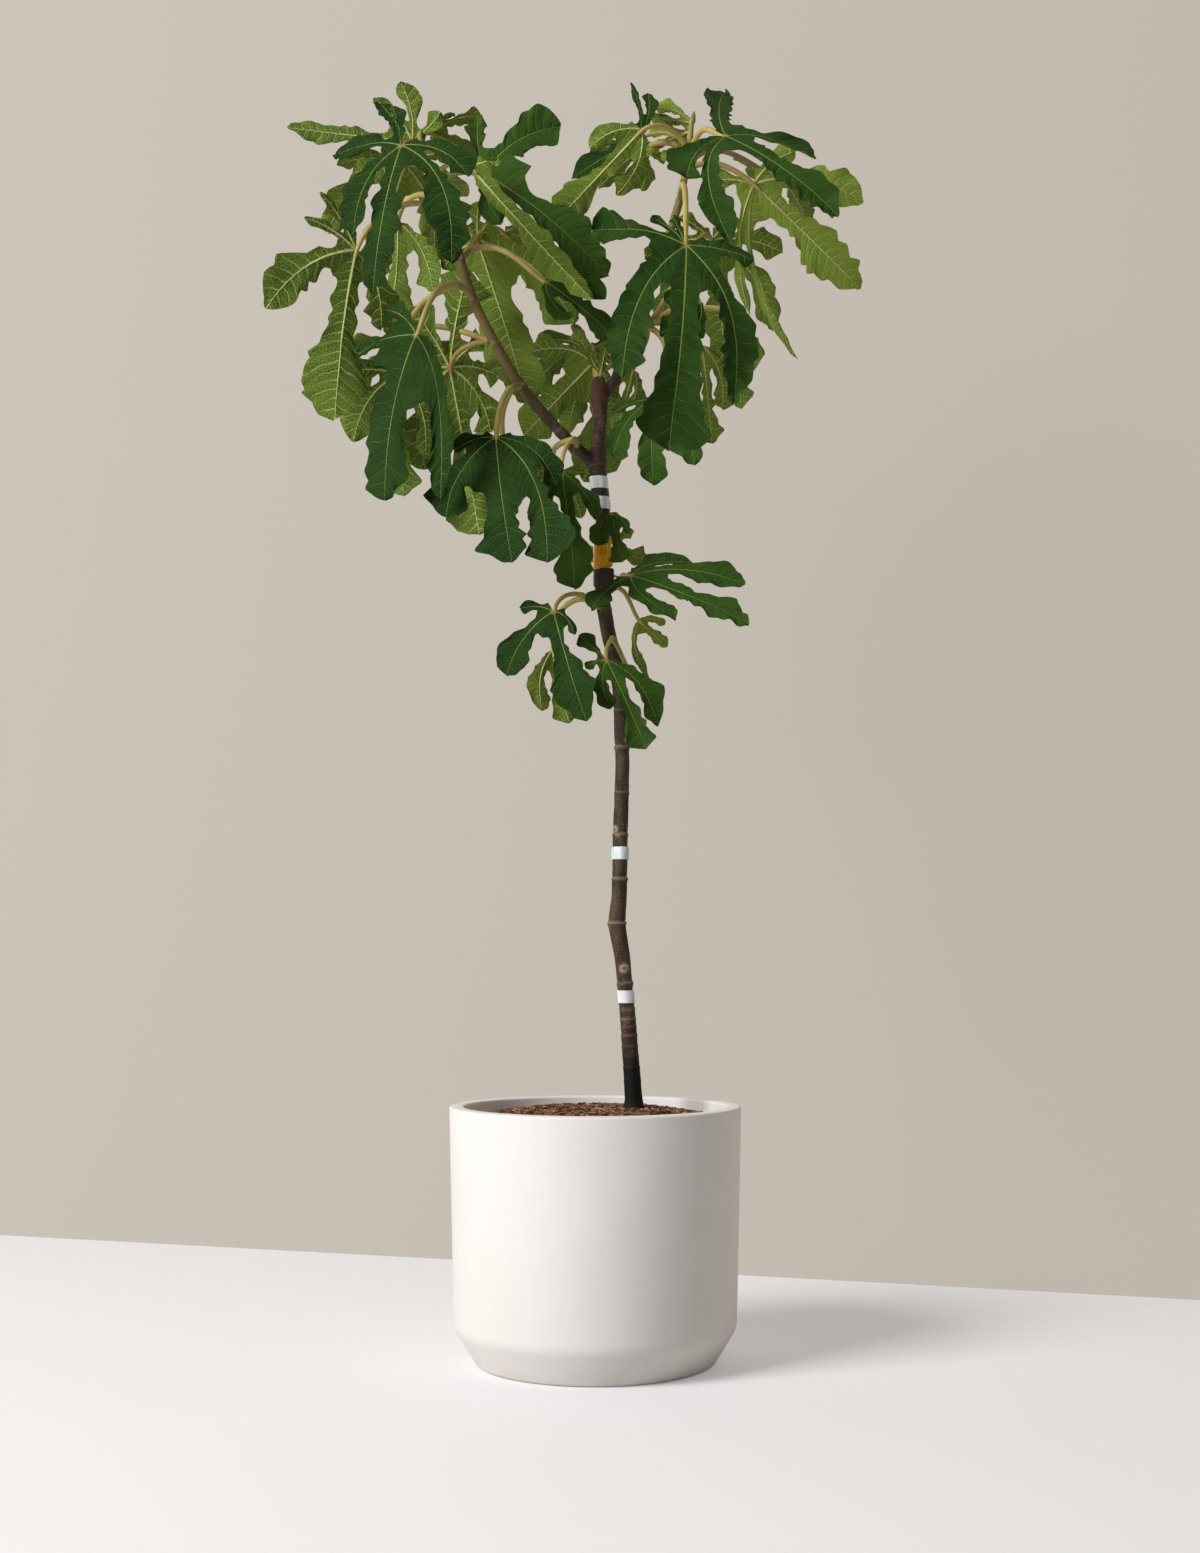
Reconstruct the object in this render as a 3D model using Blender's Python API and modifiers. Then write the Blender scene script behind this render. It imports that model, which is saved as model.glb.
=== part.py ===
"""A young fig tree in a round white planter, modelled in metres with +Z up.

The origin is the centre of the planter's flat underside, and the front of the plant faces -Y.
Each limb and each mass of foliage is one solid. A mass is one short stem with petioles that
branch from it, and every petiole carries a lobed blade with a real thickness.
"""

import math
import random

import bmesh
import bpy
from mathutils import Vector

# The planter
POT_HEIGHT = 0.264
POT_RIM_RADIUS = 0.150
POT_SHOULDER_RADIUS = 0.1455
POT_FOOT_RADIUS = 0.1225
POT_CHAMFER_HEIGHT = 0.038
POT_WALL = 0.0154
POT_FLOOR = 0.018
POT_EDGE_ROUND = 0.003
POT_SIDES = 60

# The soil is level in the middle and slopes down to the planter's wall
SOIL_TOP = 0.257
SOIL_EDGE = 0.2525
SOIL_LEVEL_RADIUS = 0.085

# Every solid keeps this gap to its neighbour
GAP = 0.0003

# Limbs, as centre points with a radius, from the foot to the tip
TRUNK = (
    (0.0405, 0.029, SOIL_TOP + GAP, 0.0112),
    (0.040, 0.029, 0.268, 0.0093),
    (0.036, 0.026, 0.325, 0.0084),
    (0.033, 0.024, 0.362, 0.0080),
    (0.031, 0.023, 0.385, 0.0079),
    (0.028, 0.022, 0.416, 0.0082),
    (0.023, 0.020, 0.450, 0.0088),
    (0.025, 0.018, 0.486, 0.0079),
    (0.026, 0.016, 0.547, 0.0078),
    (0.028, 0.014, 0.616, 0.0072),
    (0.027, 0.013, 0.650, 0.0077),
    (0.026, 0.012, 0.683, 0.0073),
    (0.021, 0.011, 0.720, 0.0074),
    (0.012, 0.009, 0.760, 0.0075),
    (0.007, 0.007, 0.800, 0.0075),
    (0.008, 0.003, 0.863, 0.0077),
    (0.004, 0.001, 0.905, 0.0082),
    (0.002, 0.000, 0.928, 0.0100),
    (0.004, 0.000, 0.955, 0.0070),
    (0.005, 0.000, 0.978, 0.0072),
    (0.004, 0.000, 0.996, 0.0090),
    (0.003, 0.000, 1.014, 0.0058),
)
BOUGH_LEFT = (
    (0.002, 0.000, 0.922, 0.0066),
    (-0.036, -0.006, 0.956, 0.0057),
    (-0.077, -0.010, 1.003, 0.0054),
    (-0.108, -0.012, 1.055, 0.0051),
    (-0.128, -0.014, 1.097, 0.0049),
    (-0.144, -0.014, 1.150, 0.0047),
    (-0.152, -0.013, 1.170, 0.0047),
)
BOUGH_RIGHT = (
    (0.004, 0.000, 0.990, 0.0066),
    (0.022, 0.006, 1.017, 0.0052),
    (0.038, 0.012, 1.062, 0.0049),
    (0.057, 0.018, 1.115, 0.0047),
    (0.073, 0.020, 1.158, 0.0043),
    (0.086, 0.020, 1.198, 0.0041),
    (0.092, 0.020, 1.224, 0.0038),
)
LIMBS = {"trunk": TRUNK, "bough_left": BOUGH_LEFT, "bough_right": BOUGH_RIGHT}
LIMB_STEPS = 2
LIMB_RESOLUTION = 3

# The ties and the label round the trunk, by the height of their lower and upper edge
TIE_THICKNESS = 0.0009
TIES = {
    "tie_low": (0.369, 0.382, "tie_white"),
    "tie_middle": (0.518, 0.531, "tie_white"),
    "tie_high": (0.878, 0.8905, "tie_white"),
    "tie_black": (0.8911, 0.8983, "label_black"),
    "tie_top": (0.8989, 0.911, "tie_white"),
    "label_lower": (0.800, 0.816, "label_black"),
    "label_upper": (0.8166, 0.843, "label_yellow"),
}

# Lobes as a heading in degrees from the middle one, a length as a share of it, and a width
# against the usual one where it differs
WHOLE = ((-130, 0.30), (-80, 0.55), (-34, 0.82), (0, 1.0), (34, 0.82), (80, 0.55), (130, 0.30))
FIVE = ((-105, 0.42), (-42, 0.78), (0, 1.0), (42, 0.78), (105, 0.42))
LOBE_WIDTH = 0.155
LOBE_SPREAD_LIMIT = 172
SINUS_DEPTH = 0.36
TIGHT_SINUS_TURN = 34
SINUS_CLEAR = 0.44
HEEL_DEPTH = 0.10
HEEL_ANGLE = 26
ROW_SLANT = 0.6

# A side lobe leaves the petiole wider than it ends and curves forward
LOBE_BOW = 28
LOBE_BOW_FADE = 60

# Half the width of a lobe along its free length, as shares of its widest place
LOBE_OUTLINE = ((0.20, 0.82), (0.55, 1.0), (0.86, 0.70), (1.0, 0.0))
SHORT_OUTLINE = ((0.30, 0.92), (0.75, 0.85), (1.0, 0.0))
SMALL_OUTLINE = ((0.55, 1.0), (1.0, 0.0))
SHORT_LOBE = 0.095
SMALL_LOBE = 0.050
EDGE_WAVE = 0.014
LEAF_FOLD = 0.14
BLADE_THICKNESS = 0.0021
BLADE_THICKNESS_SHARE = 0.0105

# Petioles
PETIOLE_ROOT_RADIUS = 0.0024
PETIOLE_TIP_RADIUS = 0.0018
PETIOLE_STEPS = 5
PETIOLE_SINK = 0.007


def leaf(base, tip, faces, up, droop, lobes, slim=1.0):
    """One leaf: the place where the petiole meets the blade, the tip of the middle lobe, the
    heading that the upper face looks to (0 is the front, 90 the right) with its share of up, the
    degrees that the blade droops, its lobes, and their width against the usual one."""
    return {
        "base": Vector(base),
        "tip": Vector(tip),
        "faces": math.radians(faces),
        "up": up,
        "droop": math.radians(droop),
        "lobes": lobes,
        "slim": slim,
    }


# Each mass has a limb, the height on the limb where its stem starts, or none at the limb's tip,
# the places that its stem runs through with its radius, and its leaves from the stem's root on
MASSES = {
    "foliage_left_tip": {
        "limb": "bough_left",
        "height": None,
        "stem": ((-0.162, -0.012, 1.196), (-0.169, -0.012, 1.212), (-0.176, -0.012, 1.230)),
        "radius": 0.0045,
        "leaves": (
            leaf((-0.244, -0.020, 1.138), (-0.272, -0.006, 0.964), 204, 0.15, 22,
                 ((-29, 0.46), (0, 1.00), (46, 0.63), (106, 0.34, 0.40), (133, 0.37, 0.35)), 0.95),
            leaf((-0.209, 0.055, 1.195), (-0.219, 0.090, 1.098), 165, 0.2, 25,
                 ((-33, 0.76), (0, 1.00), (32, 0.48)), 1.05),
            leaf((-0.208, 0.120, 1.282), (-0.253, 0.200, 1.179), 200, 0.4, 35, WHOLE),
            leaf((-0.114, 0.005, 1.225), (0.017, 0.030, 1.133), 12, 0.4, 25,
                 ((-45, 0.36), (0, 1.00), (79, 0.79, 0.90), (124, 0.56, 0.60)), 0.95),
            leaf((-0.124, -0.045, 1.211), (0.005, -0.060, 1.070), 188, 0.2, 12,
                 ((-32, 0.50), (0, 1.00), (34, 0.40)), 1.2),
            leaf((-0.190, -0.100, 1.211), (-0.210, -0.150, 1.046), -18, 0.25, 28,
                 ((-150, 0.52, 0.60), (-98, 0.47), (-18, 0.62),
                  (0, 1.00), (28, 0.96), (58, 0.54), (150, 0.38)), 0.8),
            leaf((-0.192, 0.035, 1.271), (-0.323, 0.030, 1.285), 192, 0.3, 15,
                 ((-31, 0.53), (0, 1.00, 0.50), (40, 0.44, 0.60), (74, 0.45), (130, 0.32))),
            leaf((-0.173, 0.060, 1.291), (-0.126, 0.090, 1.278), 160, 0.6, 20,
                 ((-71, 0.55), (-47, 0.98), (0, 1.00), (29, 0.64)), 1.2),
        ),
    },
    "foliage_left_inner": {
        "limb": "bough_left",
        "height": 1.130,
        "stem": ((-0.134, 0.000, 1.140), (-0.131, 0.016, 1.152)),
        "radius": 0.0032,
        "leaves": (
            leaf((-0.124, 0.050, 1.173), (-0.076, 0.080, 1.012), 164, 0.15, 22,
                 ((-158, 0.23), (-123, 0.21), (-35, 0.80),
                  (0, 1.00), (72, 0.28), (143, 0.19)), 1.12),
            leaf((-0.098, 0.100, 1.201), (-0.057, 0.190, 1.147), 150, 0.4, 30, FIVE),
            leaf((-0.052, 0.000, 1.112), (0.022, -0.010, 1.053), 8, 0.3, 15,
                 ((-22, 0.55), (0, 1.00), (26, 0.68)), 1.3),
        ),
    },
    "foliage_left_outer": {
        "limb": "bough_left",
        "height": 1.086,
        "stem": ((-0.133, -0.026, 1.096), (-0.142, -0.036, 1.098)),
        "radius": 0.0032,
        "leaves": (
            leaf((-0.205, 0.034, 1.027), (-0.203, 0.048, 0.902), 190, 0.1, 20,
                 ((-16, 0.71), (0, 1.00), (36, 0.67), (92, 0.45)), 1.2),
            leaf((-0.177, -0.080, 1.032), (-0.204, -0.110, 0.861), -30, 0.1, 35,
                 ((-130, 0.50), (-87, 0.43), (0, 1.00), (19, 1.06, 0.70)), 0.85),
        ),
    },
    "foliage_left_back": {
        "limb": "bough_left",
        "height": 1.044,
        "stem": ((-0.106, 0.002, 1.052), (-0.112, 0.014, 1.056)),
        "radius": 0.0032,
        "leaves": (
            leaf((-0.210, 0.110, 1.082), (-0.232, 0.170, 0.978), 212, 0.3, 30, WHOLE),
            leaf((-0.154, 0.055, 1.041), (-0.124, 0.090, 0.869), 180, 0.15, 20,
                 ((-158, 0.56), (-118, 0.25), (-70, 0.30),
                  (-23, 0.44), (0, 1.00), (25, 0.61), (80, 0.34), (158, 0.40)), 1.1),
        ),
    },
    "foliage_low_left": {
        "limb": "bough_left",
        "height": 1.001,
        "stem": ((-0.081, -0.026, 0.998), (-0.087, -0.040, 0.990)),
        "radius": 0.0032,
        "leaves": (
            leaf((-0.094, 0.020, 0.944), (-0.101, 0.050, 0.857), 150, 0.3, 25, FIVE),
            leaf((-0.098, -0.080, 0.931), (-0.080, -0.130, 0.797), -12, 0.25, 30,
                 ((-93, 0.31), (-34, 0.70), (0, 1.00), (13, 1.09), (39, 0.60)), 1.2),
        ),
    },
    "foliage_fork_left": {
        "limb": "bough_left",
        "height": 0.940,
        "stem": ((-0.020, -0.022, 0.944), (-0.024, -0.030, 0.942)),
        "radius": 0.0032,
        "leaves": (
            leaf((-0.046, 0.045, 0.924), (-0.060, 0.090, 0.855), 205, 0.3, 25, FIVE),
            leaf((-0.034, -0.045, 0.905), (-0.022, -0.070, 0.781), 16, 0.2, 25,
                 ((-19, 0.63), (0, 1.00), (41, 0.41)), 1.25),
        ),
    },
    "foliage_centre": {
        "limb": "trunk",
        "height": 0.998,
        "stem": ((0.003, 0.016, 1.004), (0.002, 0.026, 1.014)),
        "radius": 0.0032,
        "leaves": (
            leaf((0.006, 0.030, 1.029), (0.013, 0.035, 1.067), 180, 0.3, 12,
                 ((-37, 0.67), (0, 1.00), (27, 0.72)), 1.2),
            leaf((-0.002, 0.045, 1.043), (-0.077, 0.085, 0.977), 192, 0.2, 22,
                 ((-40, 1.16), (0, 1.00), (55, 0.63), (99, 0.34)), 1.15),
            leaf((-0.008, 0.100, 1.074), (-0.037, 0.170, 1.000), 160, 0.4, 30, WHOLE),
        ),
    },
    "foliage_right_tip": {
        "limb": "bough_right",
        "height": None,
        "stem": ((0.096, 0.020, 1.245), (0.098, 0.020, 1.258), (0.100, 0.020, 1.284)),
        "radius": 0.0034,
        "leaves": (
            leaf((0.166, 0.030, 1.225), (0.279, 0.050, 1.123), 158, 0.2, 20,
                 ((-79, 0.34), (-33, 0.75, 0.90), (0, 1.00),
                  (32, 1.20, 0.40), (49, 0.85, 0.60), (142, 0.32)), 0.92),
            leaf((0.188, 0.110, 1.270), (0.246, 0.200, 1.247), 125, 0.4, 30, FIVE),
            leaf((0.048, 0.080, 1.282), (0.003, 0.130, 1.261), 208, 0.3, 25, FIVE),
            leaf((0.129, -0.070, 1.233), (0.232, -0.130, 1.125), 22, 0.35, 28,
                 ((-68, 0.56, 1.20), (-41, 1.00), (0, 1.00, 0.90), (42, 0.58), (136, 0.94, 0.80)), 0.8),
            leaf((0.048, -0.012, 1.264), (-0.047, -0.015, 1.162), 190, 0.2, 12,
                 ((-22, 0.49), (0, 1.00), (26, 0.42))),
            leaf((0.047, 0.015, 1.269), (-0.024, 0.020, 1.225), -15, 0.3, 12,
                 ((-127, 0.67), (-110, 0.89, 0.30), (0, 1.00))),
            leaf((0.093, 0.045, 1.284), (0.050, 0.070, 1.275), 180, 0.4, 20,
                 ((-60, 0.61), (-20, 0.72), (0, 1.00), (20, 0.80)), 1.2),
            leaf((0.100, 0.040, 1.294), (0.058, 0.055, 1.305), 180, 0.5, 20,
                 ((-51, 0.37), (0, 1.00), (14, 0.93)), 1.3),
        ),
    },
    "foliage_right_front": {
        "limb": "bough_right",
        "height": 1.204,
        "stem": ((0.088, 0.004, 1.209), (0.089, -0.008, 1.209)),
        "radius": 0.0032,
        "leaves": (
            leaf((0.089, -0.095, 1.115), (0.073, -0.155, 0.902), 10, 0.15, 26,
                 ((-158, 0.17, 0.70), (-135, 0.22), (-97, 0.42),
                  (-19, 0.75, 0.85), (0, 1.00, 1.20), (20, 0.79, 0.85), (88, 0.31)), 1.1),
        ),
    },
    "foliage_right_back": {
        "limb": "bough_right",
        "height": 1.070,
        "stem": ((0.050, 0.026, 1.076), (0.058, 0.036, 1.082)),
        "radius": 0.0032,
        "leaves": (
            leaf((0.058, -0.020, 0.985), (0.057, -0.035, 0.896), -14, 0.25, 22,
                 ((-76, 0.49, 0.50), (-36, 0.78), (0, 1.00), (31, 0.96)), 1.25),
            leaf((0.108, 0.010, 1.097), (0.067, 0.010, 1.059), 0, 0.2, 20,
                 ((-45, 0.66), (0, 1.00), (34, 0.78)), 1.3),
            leaf((0.040, 0.030, 1.031), (0.021, 0.045, 0.969), 160, 0.2, 20,
                 ((-14, 0.53), (0, 1.00), (27, 0.61)), 1.2),
            leaf((0.147, 0.040, 1.086), (0.155, 0.060, 0.998), 160, 0.2, 20,
                 ((-14, 0.61), (0, 1.00), (19, 0.68)), 1.2),
            leaf((0.113, 0.060, 1.066), (0.122, 0.080, 0.968), 150, 0.2, 20,
                 ((-14, 0.70), (0, 1.00), (17, 0.77)), 1.2),
            leaf((0.127, 0.110, 1.196), (0.143, 0.190, 1.079), 158, 0.4, 30, WHOLE),
        ),
    },
    "shoot_right": {
        "limb": "trunk",
        "height": 0.790,
        "stem": ((0.018, -0.008, 0.794), (0.024, -0.016, 0.798)),
        "radius": 0.0032,
        "leaves": (
            leaf((0.044, -0.020, 0.760), (0.074, 0.000, 0.737), 180, 0.4, 20,
                 ((-31, 0.67), (0, 1.00), (36, 1.47, 0.50)), 1.1),
            leaf((0.035, -0.070, 0.796), (0.147, -0.120, 0.733), 14, 0.8, 22,
                 ((-89, 0.50), (-23, 0.60), (0, 1.00), (34, 0.83, 0.60), (69, 0.55, 0.50)), 0.9),
            leaf((0.049, 0.050, 0.815), (0.101, 0.110, 0.805), 130, 0.5, 25, FIVE),
        ),
    },
    "shoot_left": {
        "limb": "trunk",
        "height": 0.776,
        "stem": ((-0.004, -0.004, 0.782), (-0.014, -0.012, 0.788)),
        "radius": 0.0032,
        "leaves": (
            leaf((-0.045, 0.030, 0.738), (-0.029, 0.040, 0.661), 205, 0.2, 20,
                 ((-24, 0.80), (0, 1.00), (24, 0.83)), 1.2),
            leaf((-0.042, -0.045, 0.765), (-0.007, -0.070, 0.651), -20, 0.2, 28,
                 ((-122, 0.33), (-56, 0.65), (0, 1.00), (16, 0.70)), 1.1),
        ),
    },
    "shoot_low": {
        "limb": "trunk",
        "height": 0.742,
        "stem": ((0.018, -0.008, 0.744), (0.017, -0.020, 0.742)),
        "radius": 0.0032,
        "leaves": (
            leaf((0.039, -0.008, 0.704), (0.065, -0.005, 0.665), 20, 0.3, 15,
                 ((0, 1.00), (43, 0.45))),
            leaf((0.011, -0.045, 0.716), (0.050, -0.060, 0.624), 10, 0.2, 22,
                 ((-158, 0.38), (-90, 0.22), (-18, 0.52), (0, 1.00), (14, 0.85)), 1.2),
        ),
    },
    "shoot_upper": {
        "limb": "trunk",
        "height": 0.862,
        "stem": ((0.014, -0.014, 0.862), (0.014, -0.022, 0.858)),
        "radius": 0.0030,
        "leaves": (
            leaf((0.011, -0.030, 0.830), (0.009, -0.035, 0.867), 0, 0.3, 20,
                 ((-36, 0.69), (0, 1.00), (40, 0.72)), 1.3),
            leaf((0.024, 0.000, 0.830), (0.043, 0.010, 0.856), 180, 0.5, 15,
                 ((0, 1.00), (54, 0.90)), 1.2),
        ),
    },
}

# Colour, roughness and metalness of each material
MATERIALS = {
    "planter_white": ((0.84, 0.81, 0.78), 0.62, 0.0),
    "soil": ((0.050, 0.026, 0.014), 0.95, 0.0),
    "bark": ((0.046, 0.034, 0.026), 0.85, 0.0),
    "tie_white": ((0.80, 0.82, 0.84), 0.55, 0.0),
    "label_yellow": ((0.80, 0.40, 0.01), 0.50, 0.0),
    "label_black": ((0.010, 0.010, 0.011), 0.50, 0.0),
    "leaf_green": ((0.028, 0.085, 0.022), 0.55, 0.0),
}


def clear_scene():
    for item in list(bpy.data.objects):
        bpy.data.objects.remove(item, do_unlink=True)


def make_collection(name):
    group = bpy.data.collections.new(name)
    bpy.context.scene.collection.children.link(group)
    return group


def make_material(name):
    colour, roughness, metallic = MATERIALS[name]
    material = bpy.data.materials.new(name)
    material.use_nodes = True
    shader = material.node_tree.nodes["Principled BSDF"]
    shader.inputs["Base Color"].default_value = (*colour, 1.0)
    shader.inputs["Roughness"].default_value = roughness
    shader.inputs["Metallic"].default_value = metallic
    material.diffuse_color = (*colour, 1.0)
    return material


def new_object(name, mesh, group, material=None, smooth=True):
    item = bpy.data.objects.new(name, mesh)
    group.objects.link(item)
    if group.hide_render:
        item.display_type = "WIRE"
    if material is not None:
        mesh.materials.clear()
        mesh.materials.append(material)
    for face in mesh.polygons:
        face.use_smooth = smooth
    return item


def evaluated_mesh(item):
    """The finished mesh of an object with its modifiers or its curve's bevel."""
    bpy.context.view_layer.update()
    graph = bpy.context.evaluated_depsgraph_get()
    return bpy.data.meshes.new_from_object(item.evaluated_get(graph))


def smooth_path(rows, steps):
    """Rows of any length, run through by a smooth curve with this many steps between two."""
    path = []
    for i in range(len(rows) - 1):
        a = rows[max(i - 1, 0)]
        b = rows[i]
        c = rows[i + 1]
        d = rows[min(i + 2, len(rows) - 1)]
        for k in range(steps):
            t = k / steps
            path.append(tuple(
                0.5 * (2 * q + (r - p) * t + (2 * p - 5 * q + 4 * r - s) * t * t
                       + (3 * q - p - 3 * r + s) * t ** 3)
                for p, q, r, s in zip(a, b, c, d)
            ))
    path.append(tuple(rows[-1]))
    return path


def tube(name, path, resolution, group, material=None, grow=0.0):
    """A closed tube along a path of centre points with a radius each."""
    curve = bpy.data.curves.new(name, "CURVE")
    curve.dimensions = "3D"
    curve.bevel_depth = 1.0
    curve.bevel_resolution = resolution
    curve.use_fill_caps = True
    spline = curve.splines.new("POLY")
    spline.points.add(len(path) - 1)
    for point, (x, y, z, radius) in zip(spline.points, path):
        point.co = (x, y, z, 1.0)
        point.radius = radius + grow
    drawn = bpy.data.objects.new(name + "_curve", curve)
    group.objects.link(drawn)
    mesh = evaluated_mesh(drawn)
    bpy.data.objects.remove(drawn, do_unlink=True)
    bm = bmesh.new()
    bm.from_mesh(mesh)
    bmesh.ops.remove_doubles(bm, verts=bm.verts, dist=0.00001)
    bmesh.ops.recalc_face_normals(bm, faces=bm.faces)
    bm.to_mesh(mesh)
    bm.free()
    return new_object(name, mesh, group, material)


def turned(name, profile, group, material, smooth_angle=0.6):
    """A solid of revolution from a profile of radius and height."""
    mesh = bpy.data.meshes.new(name)
    bm = bmesh.new()
    corners = [bm.verts.new((radius, 0.0, height)) for radius, height in profile]
    for a, b in zip(corners, corners[1:]):
        bm.edges.new((a, b))
    bm.to_mesh(mesh)
    bm.free()
    item = new_object(name, mesh, group)
    screw = item.modifiers.new("Turn", "SCREW")
    screw.axis = "Z"
    screw.steps = POT_SIDES
    screw.render_steps = POT_SIDES
    screw.use_merge_vertices = True
    screw.merge_threshold = 0.00001
    finished = evaluated_mesh(item)
    item.modifiers.clear()
    item.data = finished
    bm = bmesh.new()
    bm.from_mesh(finished)
    bmesh.ops.remove_doubles(bm, verts=bm.verts, dist=0.00001)
    bmesh.ops.recalc_face_normals(bm, faces=bm.faces)
    bm.to_mesh(finished)
    bm.free()
    finished.materials.clear()
    finished.materials.append(material)
    for face in finished.polygons:
        face.use_smooth = True
    finished.set_sharp_from_angle(angle=smooth_angle)
    return item


def cut(item, cutter, operation="DIFFERENCE"):
    """Cut one solid with another, which is then removed."""
    modifier = item.modifiers.new("Cut", "BOOLEAN")
    modifier.operation = operation
    modifier.solver = "EXACT"
    modifier.object = cutter
    finished = evaluated_mesh(item)
    item.modifiers.clear()
    item.data = finished
    bpy.data.objects.remove(cutter, do_unlink=True)


def join_all(item, pieces):
    """Fuse a collection's solids with this one in a single union, then remove them."""
    modifier = item.modifiers.new("Join", "BOOLEAN")
    modifier.operation = "UNION"
    modifier.solver = "EXACT"
    modifier.operand_type = "COLLECTION"
    modifier.collection = pieces
    finished = evaluated_mesh(item)
    item.modifiers.clear()
    item.data = finished
    for piece in list(pieces.objects):
        bpy.data.objects.remove(piece, do_unlink=True)


def limb_path(name):
    rows = LIMBS[name]
    if name != "trunk":
        return smooth_path(rows, LIMB_STEPS)
    foot = rows[0]
    return [(rows[1][0], rows[1][1], foot[2], foot[3])] + smooth_path(rows[1:], LIMB_STEPS)


def limb(name, group, material=None, grow=0.0, suffix=""):
    return tube(name + suffix, limb_path(name), LIMB_RESOLUTION, group, material, grow)


def limb_at(name, height):
    """The centre of a limb at a height."""
    path = limb_path(name)
    for low, high in zip(path, path[1:]):
        if low[2] <= height <= high[2]:
            share = (height - low[2]) / (high[2] - low[2])
            return Vector(low[:3]).lerp(Vector(high[:3]), share)
    return Vector(path[-1][:3])


def make_pot(group, material):
    inner = POT_RIM_RADIUS - POT_WALL
    inner_low = POT_SHOULDER_RADIUS - POT_WALL
    edge = POT_EDGE_ROUND
    soft = edge * (1.0 - math.sqrt(0.5))
    profile = (
        (0.0, POT_FLOOR),
        (POT_FOOT_RADIUS - POT_WALL, POT_FLOOR),
        (inner_low, POT_CHAMFER_HEIGHT + POT_FLOOR / 2),
        (inner, POT_HEIGHT - edge),
        (inner + soft, POT_HEIGHT - soft),
        (inner + edge, POT_HEIGHT),
        (POT_RIM_RADIUS - edge, POT_HEIGHT),
        (POT_RIM_RADIUS - soft, POT_HEIGHT - soft),
        (POT_RIM_RADIUS, POT_HEIGHT - edge),
        (POT_SHOULDER_RADIUS, POT_CHAMFER_HEIGHT + edge),
        (POT_SHOULDER_RADIUS - soft, POT_CHAMFER_HEIGHT),
        (POT_SHOULDER_RADIUS - edge, POT_CHAMFER_HEIGHT - edge),
        (POT_FOOT_RADIUS + edge, edge),
        (POT_FOOT_RADIUS + soft, soft),
        (POT_FOOT_RADIUS - edge, 0.0),
        (0.0, 0.0),
    )
    return turned("planter", profile, group, material)


def make_soil(group, material):
    inner_low = POT_SHOULDER_RADIUS - POT_WALL - GAP
    inner = POT_RIM_RADIUS - POT_WALL - GAP
    bottom = POT_FLOOR + GAP
    knee = POT_CHAMFER_HEIGHT + POT_FLOOR / 2
    share = (SOIL_EDGE - knee) / (POT_HEIGHT - POT_EDGE_ROUND - knee)
    edge = inner_low + (inner - inner_low) * share
    profile = (
        (0.0, SOIL_TOP),
        (SOIL_LEVEL_RADIUS, SOIL_TOP),
        (edge, SOIL_EDGE),
        (inner_low, knee),
        (POT_FOOT_RADIUS - POT_WALL - GAP, bottom),
        (0.0, bottom),
    )
    return turned("soil", profile, group, material)


def make_band(name, group, scratch, material):
    """A thin band wrapped round the trunk between two heights."""
    low, high, _ = TIES[name]
    band = limb("trunk", group, material, GAP + TIE_THICKNESS, "_outer")
    slab_mesh = bpy.data.meshes.new("slab")
    bm = bmesh.new()
    bmesh.ops.create_cube(bm, size=1.0)
    bmesh.ops.scale(bm, verts=bm.verts, vec=(0.3, 0.3, high - low))
    bmesh.ops.translate(bm, verts=bm.verts, vec=(0.0, 0.0, (low + high) / 2))
    bm.to_mesh(slab_mesh)
    bm.free()
    cut(band, new_object("slab", slab_mesh, scratch), "INTERSECT")
    cut(band, limb("trunk", scratch, None, GAP, "_seat"))
    band.name = name
    band.data.name = name
    return band


def blade_thickness(length):
    return max(BLADE_THICKNESS, BLADE_THICKNESS_SHARE * length)


def turned_by(heading, length):
    return Vector((math.cos(heading), math.sin(heading))) * length


def lobe_at(lobe, share):
    """The place on a lobe's midrib at a share of its length and the direction it runs in."""
    bend = turned_by(lobe["start"], lobe["reach"] / 2)
    end = turned_by(lobe["end"], lobe["reach"])
    place = bend * 2 * share * (1 - share) + end * share * share
    return place, (bend * (1 - share) + (end - bend) * share).normalized()


def heading_at(lobe, radius):
    place = lobe_at(lobe, min(1.0, radius / lobe["reach"]))[0]
    return math.atan2(place.y, place.x)


def room(place, other):
    """How far a place is from another lobe's midrib."""
    return min((lobe_at(other, share / 10)[0] - place).length for share in range(11))


def blade_lobes(length, spec, rng):
    lobes = []
    for heading, share, *wide in spec["lobes"]:
        bow = LOBE_BOW * min(1.0, LOBE_BOW_FADE / max(abs(heading), 1.0)) + rng.uniform(-4, 4)
        start = heading + math.copysign(bow, heading) if heading else 0.0
        limit = LOBE_SPREAD_LIMIT - HEEL_ANGLE / 3
        start = max(-limit, min(limit, start))
        width = LOBE_WIDTH * spec["slim"] * (wide[0] if wide else 1.0)
        lobes.append({
            "start": math.radians(start),
            "end": math.radians(heading),
            "reach": share * length,
            "half": width * length * share ** 0.7,
        })
    return lobes


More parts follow.
